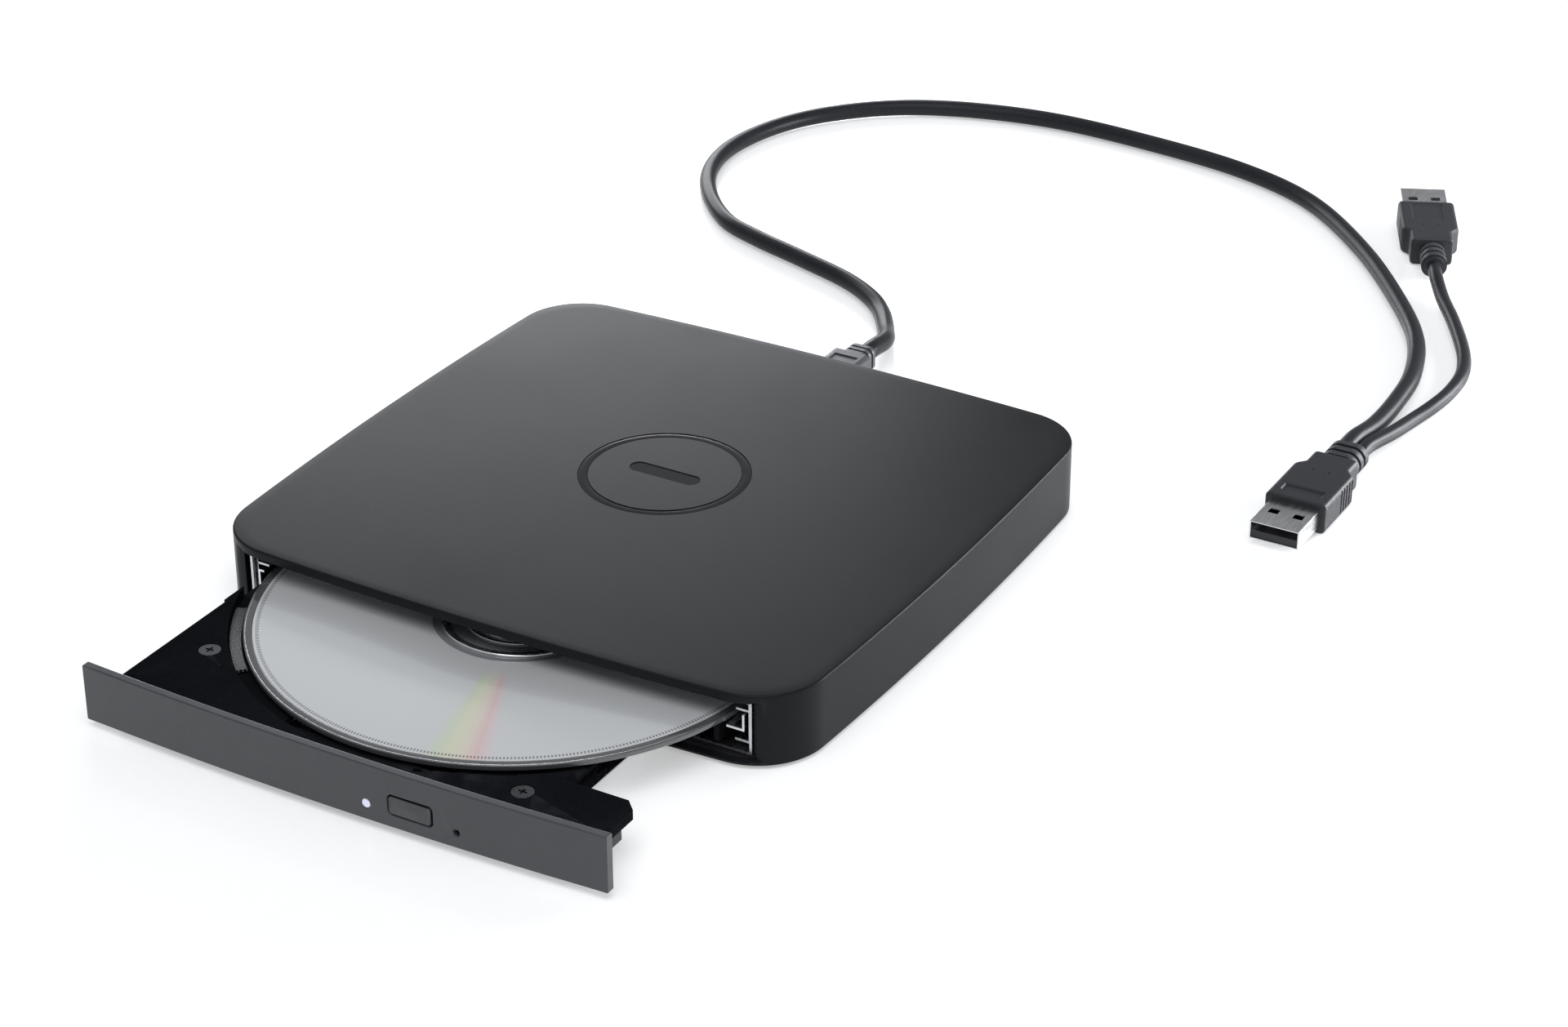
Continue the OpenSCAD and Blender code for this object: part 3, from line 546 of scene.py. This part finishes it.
shell_low, shell_high = corners("top_shell")
badge_low, badge_high = corners("badge_ring")
BODY_HALF = (shell_high - shell_low)[:2] / 2
TOP_Z = shell_high[2]
SHELL_Z0 = shell_low[2]
BADGE_AT = (badge_low + badge_high)[:2] / 2
BADGE_R = (badge_high - badge_low)[0] / 2
BADGE_BAND = 2.3
BADGE_TOP = badge_high[2]
CORNER_R = 16.0
SIDE_BOW_R = 1100.0
FRONT_BOW_R = 1060.0
WALL = 2.0
ROOF = 1.6
TOP_EDGE_R = 0.5
OPENING_HALF = 65.1
OPENING_Z = (1.2, 15.4)
PORT_HALF = 5.6
PORT_Z = (3.3, 11.7)
PORT_X = -0.5
CHAMFER_WIDTH = 2.5
CHAMFER_DEPTH = 1.1
MARK_HALF_LENGTH = 6.75
MARK_HALF_WIDTH = 2.25
GROOVE_DEPTH = 0.5


def corner_centre():
    """Centre of the corner arc: where a circle of SIDE_BOW_R - CORNER_R about the side bow's centre
    meets one of FRONT_BOW_R - CORNER_R about the front bow's centre."""
    side = np.array([BODY_HALF[0] - SIDE_BOW_R, 0.0])
    front = np.array([0.0, BODY_HALF[1] - FRONT_BOW_R])
    reach_side, reach_front = SIDE_BOW_R - CORNER_R, FRONT_BOW_R - CORNER_R
    gap = front - side
    distance = np.hypot(*gap)
    along = (reach_side ** 2 - reach_front ** 2 + distance ** 2) / (2 * distance)
    across = math.sqrt(reach_side ** 2 - along ** 2)
    unit = gap / distance
    return side + along * unit + across * np.array([-unit[1], unit[0]]), side, front


def housing_outline(inset):
    """Four bowed sides joined by corner arcs, drawn inwards by inset, anticlockwise from +X."""
    corner, side, front = corner_centre()
    side_turn = math.atan2(corner[1] - side[1], corner[0] - side[0])
    front_turn = math.atan2(corner[1] - front[1], corner[0] - front[0])
    angles = (np.linspace(0, side_turn, 200), np.linspace(side_turn, front_turn, 400),
              np.linspace(front_turn, math.pi / 2, 200))
    arcs = [centre + (radius - inset) * np.stack([np.cos(a), np.sin(a)], -1)
            for centre, radius, a in zip((side, corner, front), (SIDE_BOW_R, CORNER_R, FRONT_BOW_R),
                                         angles)]
    quarter = np.vstack([arcs[0], arcs[1][1:], arcs[2][1:]])
    left = quarter[::-1] * (-1, 1)
    return np.vstack([quarter, left[1:], quarter[1:] * (-1, -1), (quarter[::-1] * (1, -1))[1:-1]])


def seen_from_badge(outline):
    """Angle and distance of outline points from the badge's centre."""
    relative = outline - BADGE_AT
    return np.arctan2(relative[:, 1], relative[:, 0]) % TURN, np.hypot(relative[:, 0], relative[:, 1])


def reach(inset, angle):
    """Distance from the badge's centre to the outline drawn in by inset, at each angle."""
    around, distance = seen_from_badge(housing_outline(inset))
    return np.interp(angle, around, distance, period=TURN)


def angle_at_x(inset, x, front):
    """Angle, from the badge's centre, of the outline point with that x on the front or back."""
    outline = housing_outline(inset)
    here = outline[(outline[:, 1] < 0) == front]
    order = np.argsort(here[:, 0])
    y = np.interp(x, here[order, 0], here[order, 1])
    return math.atan2(y - BADGE_AT[1], x - BADGE_AT[0]) % TURN


def shell_columns(count=720):
    """Evenly spread angles with the exact angles of the opening's, chamfers' and port's edges let in,
    and the angles on the inner wall that face them."""
    edges = [(-OPENING_HALF, True), (OPENING_HALF, True), (PORT_X - PORT_HALF, False),
             (PORT_X + PORT_HALF, False), (-OPENING_HALF - CHAMFER_WIDTH, True),
             (OPENING_HALF + CHAMFER_WIDTH, True)]
    outer = np.array([angle_at_x(0.0, x, front) for x, front in edges])
    inner = np.array([angle_at_x(WALL, x, front) for x, front in edges])
    even = np.linspace(0, TURN, count, endpoint=False)
    near = np.abs(even[:, None] - outer[None]).min(1) < 0.3 * TURN / count
    angles = np.sort(np.concatenate([even[~near], outer]))
    order = np.argsort(outer)
    facing = np.interp(angles, outer[order], inner[order], period=TURN)
    facing = np.where(np.abs(facing - angles) < 0.05, facing, angles)
    spots = [int(np.argmin(np.abs(angles - a))) for a in outer]
    return angles, facing, spots


def mark_reach(grow, angle):
    """Distance from the badge's centre to a round-ended bar grown by grow: to its straight side where
    the ray meets that first, else to its round end."""
    half_width = MARK_HALF_WIDTH + grow
    across, along = np.abs(np.sin(angle)), np.abs(np.cos(angle))
    side = half_width / np.maximum(across, 1e-9)
    end = MARK_HALF_LENGTH * along + np.sqrt(
        np.maximum(half_width ** 2 - (MARK_HALF_LENGTH * across) ** 2, 0))
    return np.where(side * along <= MARK_HALF_LENGTH, side, end)


def ring_depth(radius):
    """Depth of the groove that the badge ring lies in."""
    return GROOVE_DEPTH * (BADGE_R - BADGE_BAND < radius < BADGE_R + 0.02)


def badge_row(radius, angle, z):
    """Points at a distance and angle from the badge's centre, at height z."""
    return np.stack([BADGE_AT[0] + radius * np.cos(angle), BADGE_AT[1] + radius * np.sin(angle),
                     np.broadcast_to(z, angle.shape)], -1)


def shell_shape():
    """Mark's groove, top, rounded edge, side, lip, inner side and inner roof as rows round the badge's
    centre. The groove's rows follow the bar, the ring's are circles and the rest follow the outline
    drawn in by an inset. The opening and the port are left out and their edges joined from outer to
    inner wall."""
    angles, facing, spots = shell_columns()
    steps = (BADGE_R - BADGE_BAND, BADGE_R)
    half_step = 0.03
    radii = np.unique(np.concatenate([[11.0, 13.0, 18.6, 20.8],
                                      np.subtract(steps, half_step), np.add(steps, half_step)]))
    rows = [(share * mark_reach(0.02, angles), angles, TOP_Z - GROOVE_DEPTH)
            for share in (0.15, 0.5, 0.8, 1.0)]
    rows.append((mark_reach(0.05, angles), angles, TOP_Z))
    rows += [(r, angles, TOP_Z - ring_depth(r)) for r in radii]
    edge_reach = reach(TOP_EDGE_R, angles)
    rows += [(radii[-1] + share * (edge_reach - radii[-1]), angles, TOP_Z)
             for share in (0.2, 0.45, 0.7, 0.88, 0.96)]
    rows += [(reach(TOP_EDGE_R * (1 - math.sin(turn)), angles), angles,
              TOP_Z - TOP_EDGE_R * (1 - math.cos(turn)))
             for turn in np.linspace(0, math.pi / 2, 8)]
    levels = [OPENING_Z[1] + 0.35, OPENING_Z[1], PORT_Z[1], 7.5, PORT_Z[0], OPENING_Z[0], 0.95]
    first_side = len(rows)
    rows += [(reach(0.0, angles), angles, z) for z in levels]
    lip = 0.3
    rows += [(reach(lip * (1 - math.cos(turn)), angles), angles,
              SHELL_Z0 + lip * (1 - math.sin(turn)))
             for turn in np.linspace(0.3, math.pi / 2, 3)]
    rows += [(reach(WALL - lip * math.cos(turn) * 0.3, facing), facing,
              SHELL_Z0 + lip * 0.3 * (1 - math.sin(turn)))
             for turn in np.linspace(math.pi / 2, 0.3, 2)]
    first_inner = len(rows)
    inner_levels = levels[::-1]
    rows += [(reach(WALL, facing), facing, z) for z in inner_levels]
    inner_reach = reach(WALL, facing)
    rows += [(share * inner_reach, facing, TOP_Z - ROOF)
             for share in (1.0, 0.6, 0.02)]
    grid = np.stack([badge_row(*row) for row in rows])
    open_left, open_right, port_left, port_right, wide_left, wide_right = spots
    top_row, low_row = first_side + 1, first_side + 5
    for edge, wide in ((open_left, wide_left), (open_right, wide_right)):
        between = slice(min(edge, wide), max(edge, wide) + 1)
        share = np.abs(grid[top_row, between, 0]) - OPENING_HALF
        grid[top_row:low_row + 1, between, 1] += CHAMFER_DEPTH * (1 - share / CHAMFER_WIDTH)
    points, faces = skin(grid)
    columns = grid.shape[1]
    last = first_inner + len(inner_levels) - 1
    quads = faces[0].reshape(grid.shape[0] - 1, columns, 4)
    keep = np.ones(quads.shape[:2], bool)
    rims = []
    for left, right, high, low in ((open_left, open_right, 1, 5), (port_right, port_left, 2, 4)):
        keep[first_side + high:first_side + low, left:right] = False
        keep[last - low:last - high, left:right] = False
        outer_rows = np.arange(first_side + high, first_side + low + 1)
        inner_rows = last - (outer_rows - first_side)
        across = np.arange(left, right + 1)
        for rows_out, rows_in, cols in ((outer_rows, inner_rows, left), (outer_rows, inner_rows, right)):
            out, back = rows_out * columns + cols, rows_in * columns + cols
            rims.append(np.stack([out[:-1], out[1:], back[1:], back[:-1]], -1))
        for row_out, row_in in ((outer_rows[0], inner_rows[0]), (outer_rows[-1], inner_rows[-1])):
            out, back = row_out * columns + across, row_in * columns + across
            rims.append(np.stack([out[:-1], out[1:], back[1:], back[:-1]], -1))
    return points, [quads[keep], *rims, *faces[1:]]


# Painted highlight for the right-hand jamb's slanted face: bright and part-metal, standing in for the
# light that face catches.
JAMB_PAINTED_HIGHLIGHT = worked_metal("jamb face painted highlight", (0.1, 0.102, 0.108), (0.85, 0.86, 0.88), (0.2, 0.35),
                           (1.0, 1.0, 0.03), 1400.0, 0.00002, Metallic=0.3)


def add_shell():
    """The shell, with a painted highlight on the slanted face of the right-hand jamb: a bright,
    part-metal finish that the left-hand jamb lacks.
    """
    shell = add_piece("shell", shell_shape(), SHELL_SATIN, "housing", ["top_shell"],
                      32)
    mesh = shell.data
    mesh.materials.append(JAMB_PAINTED_HIGHLIGHT)
    centres = np.empty(len(mesh.polygons) * 3)
    mesh.polygons.foreach_get("center", centres)
    centres = centres.reshape(-1, 3) / MM
    # Faces given the painted highlight: the slanted face beside the opening's right-hand end, at the
    # front, between the opening's heights.
    front = centres[:, 1] < -BODY_HALF[1] + 3.5
    beside = (centres[:, 0] > OPENING_HALF) & (centres[:, 0] < OPENING_HALF + CHAMFER_WIDTH)
    level = (centres[:, 2] > OPENING_Z[0]) & (centres[:, 2] < OPENING_Z[1])
    mesh.polygons.foreach_set("material_index", (front & beside & level).astype(np.int32))
    return shell


add_shell()

# ---------------------------------------------------------------- badge

BADGE_LOW = badge_low[2]
RING_EDGE = 0.08
MARK_EDGE = 0.06


def add_badge():
    """Ring: a rounded rectangle of (radius, height) carried round. Mark: a round-ended bar with a
    slightly smaller top outline for its edge."""
    ring = turned(ring_profile(BADGE_R - BADGE_BAND + 0.04, BADGE_R - 0.04, BADGE_LOW, BADGE_TOP,
                               RING_EDGE), BADGE_AT, 360)
    add_piece("badge_ring_gloss", ring, BADGE_GLOSS, "housing", ["badge_ring"])
    angle = np.linspace(0, TURN, 360, endpoint=False)
    levels = ((0.0, BADGE_LOW), (0.0, BADGE_TOP - MARK_EDGE), (-MARK_EDGE, BADGE_TOP))
    grid = np.stack([badge_row(mark_reach(grow, angle), angle, z) for grow, z in levels])
    add_piece("badge_mark_gloss", skin(grid), BADGE_GLOSS, "housing", ["badge_mark"])


add_badge()

# ---------------------------------------------------------------- disc

disc_low, disc_high = corners("disc")
DISC_AT = (disc_low + disc_high)[:2] / 2
DISC_Z = (disc_low[2], disc_high[2])
DISC_HOLE_R = 7.5
DISC_HUB_R = 19.6
DISC_MIRROR_R = 58.0
DISC_R = 60.0


def disc_polar_group():
    """Distance from the disc's centre in millimetres and angle round it in degrees."""
    tree, given, out = new_group("disc polar", [("Centre", "vector", (0.0, 0.0, 0.0))],
                                 [("Radius", "value"), ("Angle", "value"), ("Rings", "value")])
    shifted = tree.nodes.new("ShaderNodeVectorMath")
    shifted.operation = "SUBTRACT"
    tree.links.new(object_coordinates(tree), shifted.inputs[0])
    tree.links.new(given.outputs["Centre"], shifted.inputs[1])
    split = tree.nodes.new("ShaderNodeSeparateXYZ")
    tree.links.new(shifted.outputs[0], split.inputs[0])
    x, y = split.outputs[0], split.outputs[1]
    squares = math_node(tree, "ADD", *(math_node(tree, "MULTIPLY", side, side) for side in (x, y)))
    radius = math_node(tree, "MULTIPLY", math_node(tree, "SQRT", squares), 1000.0)
    angle = math_node(tree, "MULTIPLY", math_node(tree, "ARCTAN2", y, x), 180 / math.pi)
    along = tree.nodes.new("ShaderNodeCombineXYZ")
    tree.links.new(radius, along.inputs[0])
    rings = noise_node(tree, along.outputs[0], 9.0, 2.0)
    tree.links.new(radius, out.inputs["Radius"])
    tree.links.new(angle, out.inputs["Angle"])
    tree.links.new(rings, out.inputs["Rings"])
    return tree


DISC_POLAR = disc_polar_group()
DISC_CENTRE = (DISC_AT[0] * MM, DISC_AT[1] * MM, 0.0)
# Painted diffraction highlight: from these radii outwards the fan of spectral colours fades in.
PAINTED_DIFFRACTION_RADII = (21.0, 30.0)
HUB_RINGS = ((16.3, 17.9, 0.6, 0.34), (12.2, 12.8, 0.4, 0.2), (10.2, 10.9, 0.4, 0.2),
             (59.45, 59.65, 0.02, 0.03))
EDGE_DASHES = 480
# Painted diffraction highlight: angles round the disc and colours of a fixed fan painted onto the mirror
# band, standing in for light split by the tracks.
PAINTED_DIFFRACTION_STOPS = ((-78.0, (0.8, 0.82, 0.815)), (-75.0, (0.76, 0.88, 0.62)), (-72.0, (0.92, 0.92, 0.58)),
                (-69.0, (0.96, 0.84, 0.66)), (-66.5, (1.0, 0.6, 0.58)), (-64.5, (0.92, 0.74, 0.78)),
                (-62.0, (0.81, 0.82, 0.825)))


def disc_silver():
    """Mirror band: fine rings for tone and roughness, a painted diffraction highlight as a narrow fan of
    spectral colours at one angle, and dashes near the edge."""
    material, shader = new_finish("disc silver", Metallic=0.4, Coat_Weight=0.5, Coat_Roughness=0.03)
    tree = material.node_tree
    polar = put_group(material, DISC_POLAR, Centre=DISC_CENTRE)
    tone = range_node(tree, polar.outputs["Rings"], 0.3, 0.7, 0.0, 1.0)
    silver = mix_colours(tree, tone, rgb(0.8, 0.812, 0.814), rgb(0.83, 0.84, 0.842))
    # Painted diffraction highlight: the fan's colours by angle round the disc.
    low, high = PAINTED_DIFFRACTION_STOPS[0][0], PAINTED_DIFFRACTION_STOPS[-1][0]
    place = range_node(tree, polar.outputs["Angle"], low, high, 0.0, 1.0)
    ramp = tree.nodes.new("ShaderNodeValToRGB")
    while len(ramp.color_ramp.elements) < len(PAINTED_DIFFRACTION_STOPS):
        ramp.color_ramp.elements.new(0.5)
    for element, (angle, colour) in zip(ramp.color_ramp.elements, PAINTED_DIFFRACTION_STOPS):
        element.position = (angle - low) / (high - low)
        element.color = rgb(*colour)
    tree.links.new(place, ramp.inputs[0])
    # Where the painted diffraction highlight shows: inside the fan's angles, growing outwards.
    inside = math_node(tree, "MULTIPLY",
                       range_node(tree, polar.outputs["Angle"], low, low + 2, 0.0, 1.0, True),
                       range_node(tree, polar.outputs["Angle"], high - 2, high, 1.0, 0.0, True))
    outward = range_node(tree, polar.outputs["Radius"], *PAINTED_DIFFRACTION_RADII, 0.0, 0.6, True)
    share = math_node(tree, "MULTIPLY", inside, outward)
    turn = math_node(tree, "MULTIPLY", polar.outputs["Angle"], EDGE_DASHES * math.pi / 180)
    dash = range_node(tree, math_node(tree, "SINE", turn), -0.2, 0.2, 0.0, 1.0, True)
    band = math_node(tree, "MULTIPLY",
                     range_node(tree, polar.outputs["Radius"], 56.5, 56.7, 0.0, 1.0, True),
                     range_node(tree, polar.outputs["Radius"], 57.3, 57.5, 1.0, 0.0, True))
    with_painted_diffraction = mix_colours(tree, share, silver, ramp.outputs[0])
    dashed = mix_colours(tree, math_node(tree, "MULTIPLY", dash, band), with_painted_diffraction, rgb(0.3, 0.305, 0.31))
    tree.links.new(dashed, shader.inputs["Base Color"])
    rough = range_node(tree, polar.outputs["Rings"], 0.3, 0.7, 0.24, 0.27)
    tree.links.new(rough, shader.inputs["Roughness"])
    return material


def disc_clear(name, colour, low_rough, high_rough):
    """Clear plastic of the hub and rim, seen over the black tray: fine rings in tone and roughness."""
    material, shader = new_finish(name, Coat_Weight=1.0, Coat_Roughness=0.03, IOR=1.55)
    tree = material.node_tree
    polar = put_group(material, DISC_POLAR, Centre=DISC_CENTRE)
    tone = range_node(tree, polar.outputs["Rings"], 0.3, 0.7, 0.7, 1.3)
    dark = [channel * 0.75 for channel in colour]
    tree.links.new(mix_colours(tree, tone, rgb(*dark), rgb(*colour)), shader.inputs["Base Color"])
    tree.links.new(range_node(tree, polar.outputs["Rings"], 0.3, 0.7, low_rough, high_rough),
                   shader.inputs["Roughness"])
    return material


HUB_CLEAR = disc_clear("disc hub plastic", (0.2, 0.205, 0.21), 0.08, 0.16)
RIM_CLEAR = disc_clear("disc rim plastic", (0.09, 0.092, 0.096), 0.06, 0.14)


def add_disc():
    """Three rings of rounded rectangular section, and the thin bright rings moulded round the hub."""
    low, high = DISC_Z
    for name, inner, outer, edge, finish, steps in (
            ("disc_hub", DISC_HOLE_R, DISC_HUB_R - 0.02, 0.12, HUB_CLEAR, 240),
            ("disc_mirror", DISC_HUB_R, DISC_MIRROR_R, 0.03, disc_silver(), 480),
            ("disc_rim", DISC_MIRROR_R + 0.02, DISC_R - 0.02, 0.2, RIM_CLEAR, 480)):
        ring = turned(ring_profile(inner, outer, low, high, edge), DISC_AT, steps)
        add_piece(name, ring, finish, "spindle", ["disc"])
    bright = [turned(ring_profile(inner, outer, high - 0.1, high + lift, edge), DISC_AT, 240)
              for inner, outer, lift, edge in HUB_RINGS]
    add_piece("disc_rings", joined(*bright), HUB_CHROME, "spindle")


add_disc()

# ---------------------------------------------------------------- recess pad and light

PAD_RADII = (60.35, 62.9)
PAD_TURN = (-155.0, -130.6)
PAD_Z = (8.9, 9.5)


def add_tray_fittings():
    """Ribbed pad: a sector in the recess. Light: a low dome standing proud of the bezel, its height the
    square root of one less the squared share of its radius."""
    pad = sector(ring_profile(*PAD_RADII, *PAD_Z, 0.1), DISC_AT, *PAD_TURN, 60)
    add_piece("recess_pad", pad, PAD_GREY, "tray")
    low, high = corners("led_lens")
    x, z = (low + high)[0] / 2, (low + high)[2] / 2
    share = np.linspace(0.0, 1.0, 10)
    radius = (high - low)[0] / 2 * np.concatenate([[1.0, 1.0], np.sqrt(1 - (0.98 * share) ** 2)])
    y = np.concatenate([[high[1], low[1] + 0.3], low[1] + 0.3 - 0.3 * share])
    angle = np.linspace(0, TURN, 40, endpoint=False)
    grid = np.stack([x + radius[:, None] * np.cos(angle), y[:, None] + 0 * angle,
                     z + radius[:, None] * np.sin(angle)], -1)
    add_piece("light_lens", skin(grid), LED_DIFFUSER, "tray", ["led_lens"])


add_tray_fittings()

# ---------------------------------------------------------------- plug bodies

PLUG_HEIGHT = 7.6
PLUG_HALF_WIDTHS = (7.5, 5.55)
PLUG_TAPER = (16.6, 19.8)
PLUG_BODY_LENGTH = 25.0
PLUG_CORNER_R = 1.1
PLUG_END_R = 0.6
GRIP_FIRST = 9.6
GRIP_STEP = 1.6
GRIP_COUNT = 5
GRIP_DEPTH = 0.4
GRIP_WIDTH = 0.8
DIMPLE_X = (-2.0, 2.0)
DIMPLE_Y = 15.5
DIMPLE_DEPTH = 0.25


def plug_outline(half_width, count=55):
    """Rounded rectangle cut into equal steps."""
    loop = rounded([(half_width, 0), (half_width, PLUG_HEIGHT), (-half_width, PLUG_HEIGHT),
                    (-half_width, 0)], PLUG_CORNER_R, 6)
    closed = np.vstack([loop, loop[:1]])
    travelled = np.concatenate([[0.0], np.cumsum(np.linalg.norm(np.diff(closed, axis=0), axis=1))])
    even = np.linspace(0, travelled[-1], 4 * count, endpoint=False)
    return np.stack([np.interp(even, travelled, closed[:, axis]) for axis in (0, 1)], -1)


def plug_shape(panel, at, turn):
    """Rounded rectangle whose half width eases from wide to narrow along Y and shrinks at both ends by a
    quarter circle. Grip grooves press the sides in, the panel and two dimples press the top in."""
    ends = PLUG_END_R * (1 - np.cos(np.linspace(0, math.pi / 2, 5)))
    along = np.concatenate([ends, np.arange(0.8, PLUG_BODY_LENGTH - 0.7, 0.2),
                            PLUG_BODY_LENGTH - ends[::-1]])
    half = PLUG_HALF_WIDTHS[0] - (PLUG_HALF_WIDTHS[0] - PLUG_HALF_WIDTHS[1]) * ease(along, *PLUG_TAPER)
    from_end = np.clip(np.minimum(along, PLUG_BODY_LENGTH - along), 0, PLUG_END_R)
    shrink = PLUG_END_R - np.sqrt(PLUG_END_R ** 2 - (PLUG_END_R - from_end) ** 2)
    base = plug_outline(PLUG_HALF_WIDTHS[0])
    straight = PLUG_HALF_WIDTHS[0] - PLUG_CORNER_R
    side = np.sign(base[:, 0]) * np.clip(np.abs(base[:, 0]) - straight, 0, None)
    flat = np.clip(base[:, 0], -straight, straight)
    middle = PLUG_HEIGHT / 2
    stretch = (half - PLUG_CORNER_R) / straight
    x = flat * stretch[:, None] + side
    x *= 1 - (shrink / half)[:, None]
    z = middle + (base[:, 1] - middle) * (1 - shrink / middle)[:, None]
    y = np.broadcast_to(along[:, None], x.shape).copy()
    on_side = ease(np.abs(base[:, 1] - middle), 3.4, 2.2) * (np.abs(side) > PLUG_CORNER_R * 0.9)
    grips = sum(window(y, GRIP_FIRST + GRIP_STEP * k, GRIP_FIRST + GRIP_STEP * k + GRIP_WIDTH, 0.2)
                for k in range(GRIP_COUNT))
    x -= np.sign(x) * GRIP_DEPTH * grips * on_side
    (left, right, front, back), depth = panel
    on_top = base[:, 1] > PLUG_HEIGHT - 0.01
    sunk = depth * window(x, left, right, 0.25) * window(y, front, back, 0.25)
    for dot in DIMPLE_X:
        sunk = sunk + DIMPLE_DEPTH * (1 - ease(np.hypot(x - dot, y - DIMPLE_Y), 0.15, 0.5))
    z -= sunk * on_top
    cos, sin = math.cos(turn), math.sin(turn)
    grid = np.stack([at[0] + x * cos - y * sin, at[1] + x * sin + y * cos, z], -1)
    return skin(grid)


def add_plug_bodies():
    for name, node, panel, at, turn in (
            ("main_plug_mould", "main_plug_body", ((-5.0, 5.0, 3.0, 6.4), 0.35), (121.5, 80.0), 0.0),
            ("power_plug_mould", "power_plug_body", ((-4.3, 4.3, 1.4, 11.5), 0.25), POWER_PLUG_AT,
             POWER_PLUG_TURN)):
        add_piece(name, plug_shape(panel, at, turn), PLUG_MOULD, "housing", [node], 50)


add_plug_bodies()

# ---------------------------------------------------------------- finishes and edges of the CAD nodes

NODE_FINISH = {name: value for value, names in (
    (SHELL_SATIN, "top_shell"),
    (BASE_GRAIN, "bottom_cover"),
    (BADGE_GLOSS, "badge_ring badge_mark"),
    (FOOT_RUBBER, "rubber_feet"),
    (SCREW_STEEL, "base_screws cover_screws board_screws sled_motor"),
    (LABEL_FILM, "rating_label"),
    (SHEET_STEEL, "drive_chassis drive_cover rail_guide_left rail_guide_right tray_underside "
     "traverse_frame spindle_motor"),
    (RAIL_STEEL, "latch_post slide_rail_left slide_rail_right"),
    (BOARD_MASK, "main_board bridge_board front_board"),
    (SLOT_BLACK, "main_board_chips drive_connector bridge_board_chips eject_switch latch_solenoid "
     "main_plug_tongue power_plug_tongue"),
    (FLEX_FILM, "flex_cable"),
    (PLUG_STEEL, "usb_socket mini_plug_tip main_plug_shell power_plug_shell"),
    (TRAY_GRAIN, "tray"),
    (BEZEL_SATIN, "bezel"),
    (BLACK_SCREW, "deck_screws"),
    (LED_DIFFUSER, "led_lens status_led"),
    (BUTTON_SATIN, "eject_button"),
    (LEVER_NYLON, "latch_lever"),
    (DAMPER_RUBBER, "frame_dampers"),
    (ROD_CHROME, "guide_rods lead_screw"),
    (SLED_CASTING, "pickup_sled"),
    (LENS_GLASS, "objective_lens"),
    (TURNTABLE_BLACK, "turntable"),
    (HUB_CHROME, "hub_jaws"),
    (HUB_CLEAR, "disc"),
    (MINI_MOULD, "mini_plug_body mini_strain_relief"),
    (CORD_JACKET, "main_cord power_cord"),
    (PLUG_MOULD, "main_plug_relief main_plug_body power_plug_relief power_plug_body"),
) for name in names.split()}
EDGE_WIDTHS = {name: value for value, names in (
    (0.25, "bottom_cover"),
    (0.2, "tray mini_strain_relief main_plug_relief power_plug_relief"),
    (0.3, "bezel"),
    (0.22, "eject_button"),
    (0.15, "turntable rubber_feet pickup_sled"),
    (0.1, "hub_jaws rail_guide_left rail_guide_right main_plug_shell power_plug_shell"),
    (0.12, "slide_rail_left slide_rail_right"),
    (0.5, "mini_plug_body"),
    (0.4, "main_plug_body power_plug_body"),
    (0.08, "drive_cover"),
    (0.06, "deck_screws base_screws cover_screws"),
) for name in names.split()}
EDGE_ANGLE = math.radians(32)


def finish_node(name, node):
    """Puts the finish in the node's slots and rounds its edges by the width named for it."""
    for place in node.material_slots:
        place.material = NODE_FINISH[name]
    if name not in EDGE_WIDTHS:
        return
    weld = node.modifiers.new("merge", "WELD")
    weld.merge_threshold = 0.000004
    bevel = node.modifiers.new("edges", "BEVEL")
    bevel.width = EDGE_WIDTHS[name] * MM
    bevel.segments = 2
    bevel.limit_method = "ANGLE"
    bevel.angle_limit = EDGE_ANGLE
    bevel.harden_normals = True
    bevel.use_clamp_overlap = True


for node_name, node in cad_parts.items():
    finish_node(node_name, node)

# ---------------------------------------------------------------- floor and light

LIGHT_COLOUR = (0.95, 0.97, 1.0)
SURROUND_STRENGTH = 0.36
SOFTBOXES = (("overhead", (0.25, -0.55, 1.4), (0, 0, 0), (1.2, 1.2), 12.0),
             ("behind left", (-0.3, 0.38, 0.12), (0, 0.06, 0.015), (0.3, 0.14), 0.9),
             ("behind right", (0.3, 0.3, 0.07), (0.075, 0.03, 0.01), (0.2, 0.1), 1.5))
FLOOR_HALF = 4.0
FLOOR_Z = -0.0003


def add_floor():
    """Flat pale floor, large enough to fill the view behind the object."""
    mesh = bpy.data.meshes.new("floor")
    mesh.from_pydata([(x * FLOOR_HALF, y * FLOOR_HALF, FLOOR_Z)
                      for x, y in ((-1, -1), (1, -1), (1, 1), (-1, 1))], [], [(0, 1, 2, 3)])
    mesh.materials.append(moulded_plastic("pale floor", (0.87, 0.87, 0.87), (0.89, 0.89, 0.89),
                                          (0.17, 0.2), 400.0, 0.000001,
                                          Emission_Color=rgb(1, 1, 1), Emission_Strength=0.36))
    new_object("floor", mesh)


def add_softbox(name, place, aim, size, watts):
    data = bpy.data.lights.new(name, "AREA")
    data.shape = "RECTANGLE"
    data.size, data.size_y = size
    data.energy = watts
    light = new_object(name, data)
    light.location = place
    toward = Vector(aim) - Vector(place)
    light.rotation_euler = toward.to_track_quat("-Z", "Y").to_euler()
    data.color = LIGHT_COLOUR
    light.visible_camera = False


def add_world(strength):
    world = bpy.data.worlds.new("white surround")
    world.use_nodes = True
    background = world.node_tree.nodes["Background"]
    background.inputs["Color"].default_value = rgb(*LIGHT_COLOUR)
    background.inputs["Strength"].default_value = strength
    bpy.context.scene.world = world


add_floor()
add_world(SURROUND_STRENGTH)
for softbox in SOFTBOXES:
    add_softbox(*softbox)
bpy.context.scene.view_settings.view_transform = "Standard"
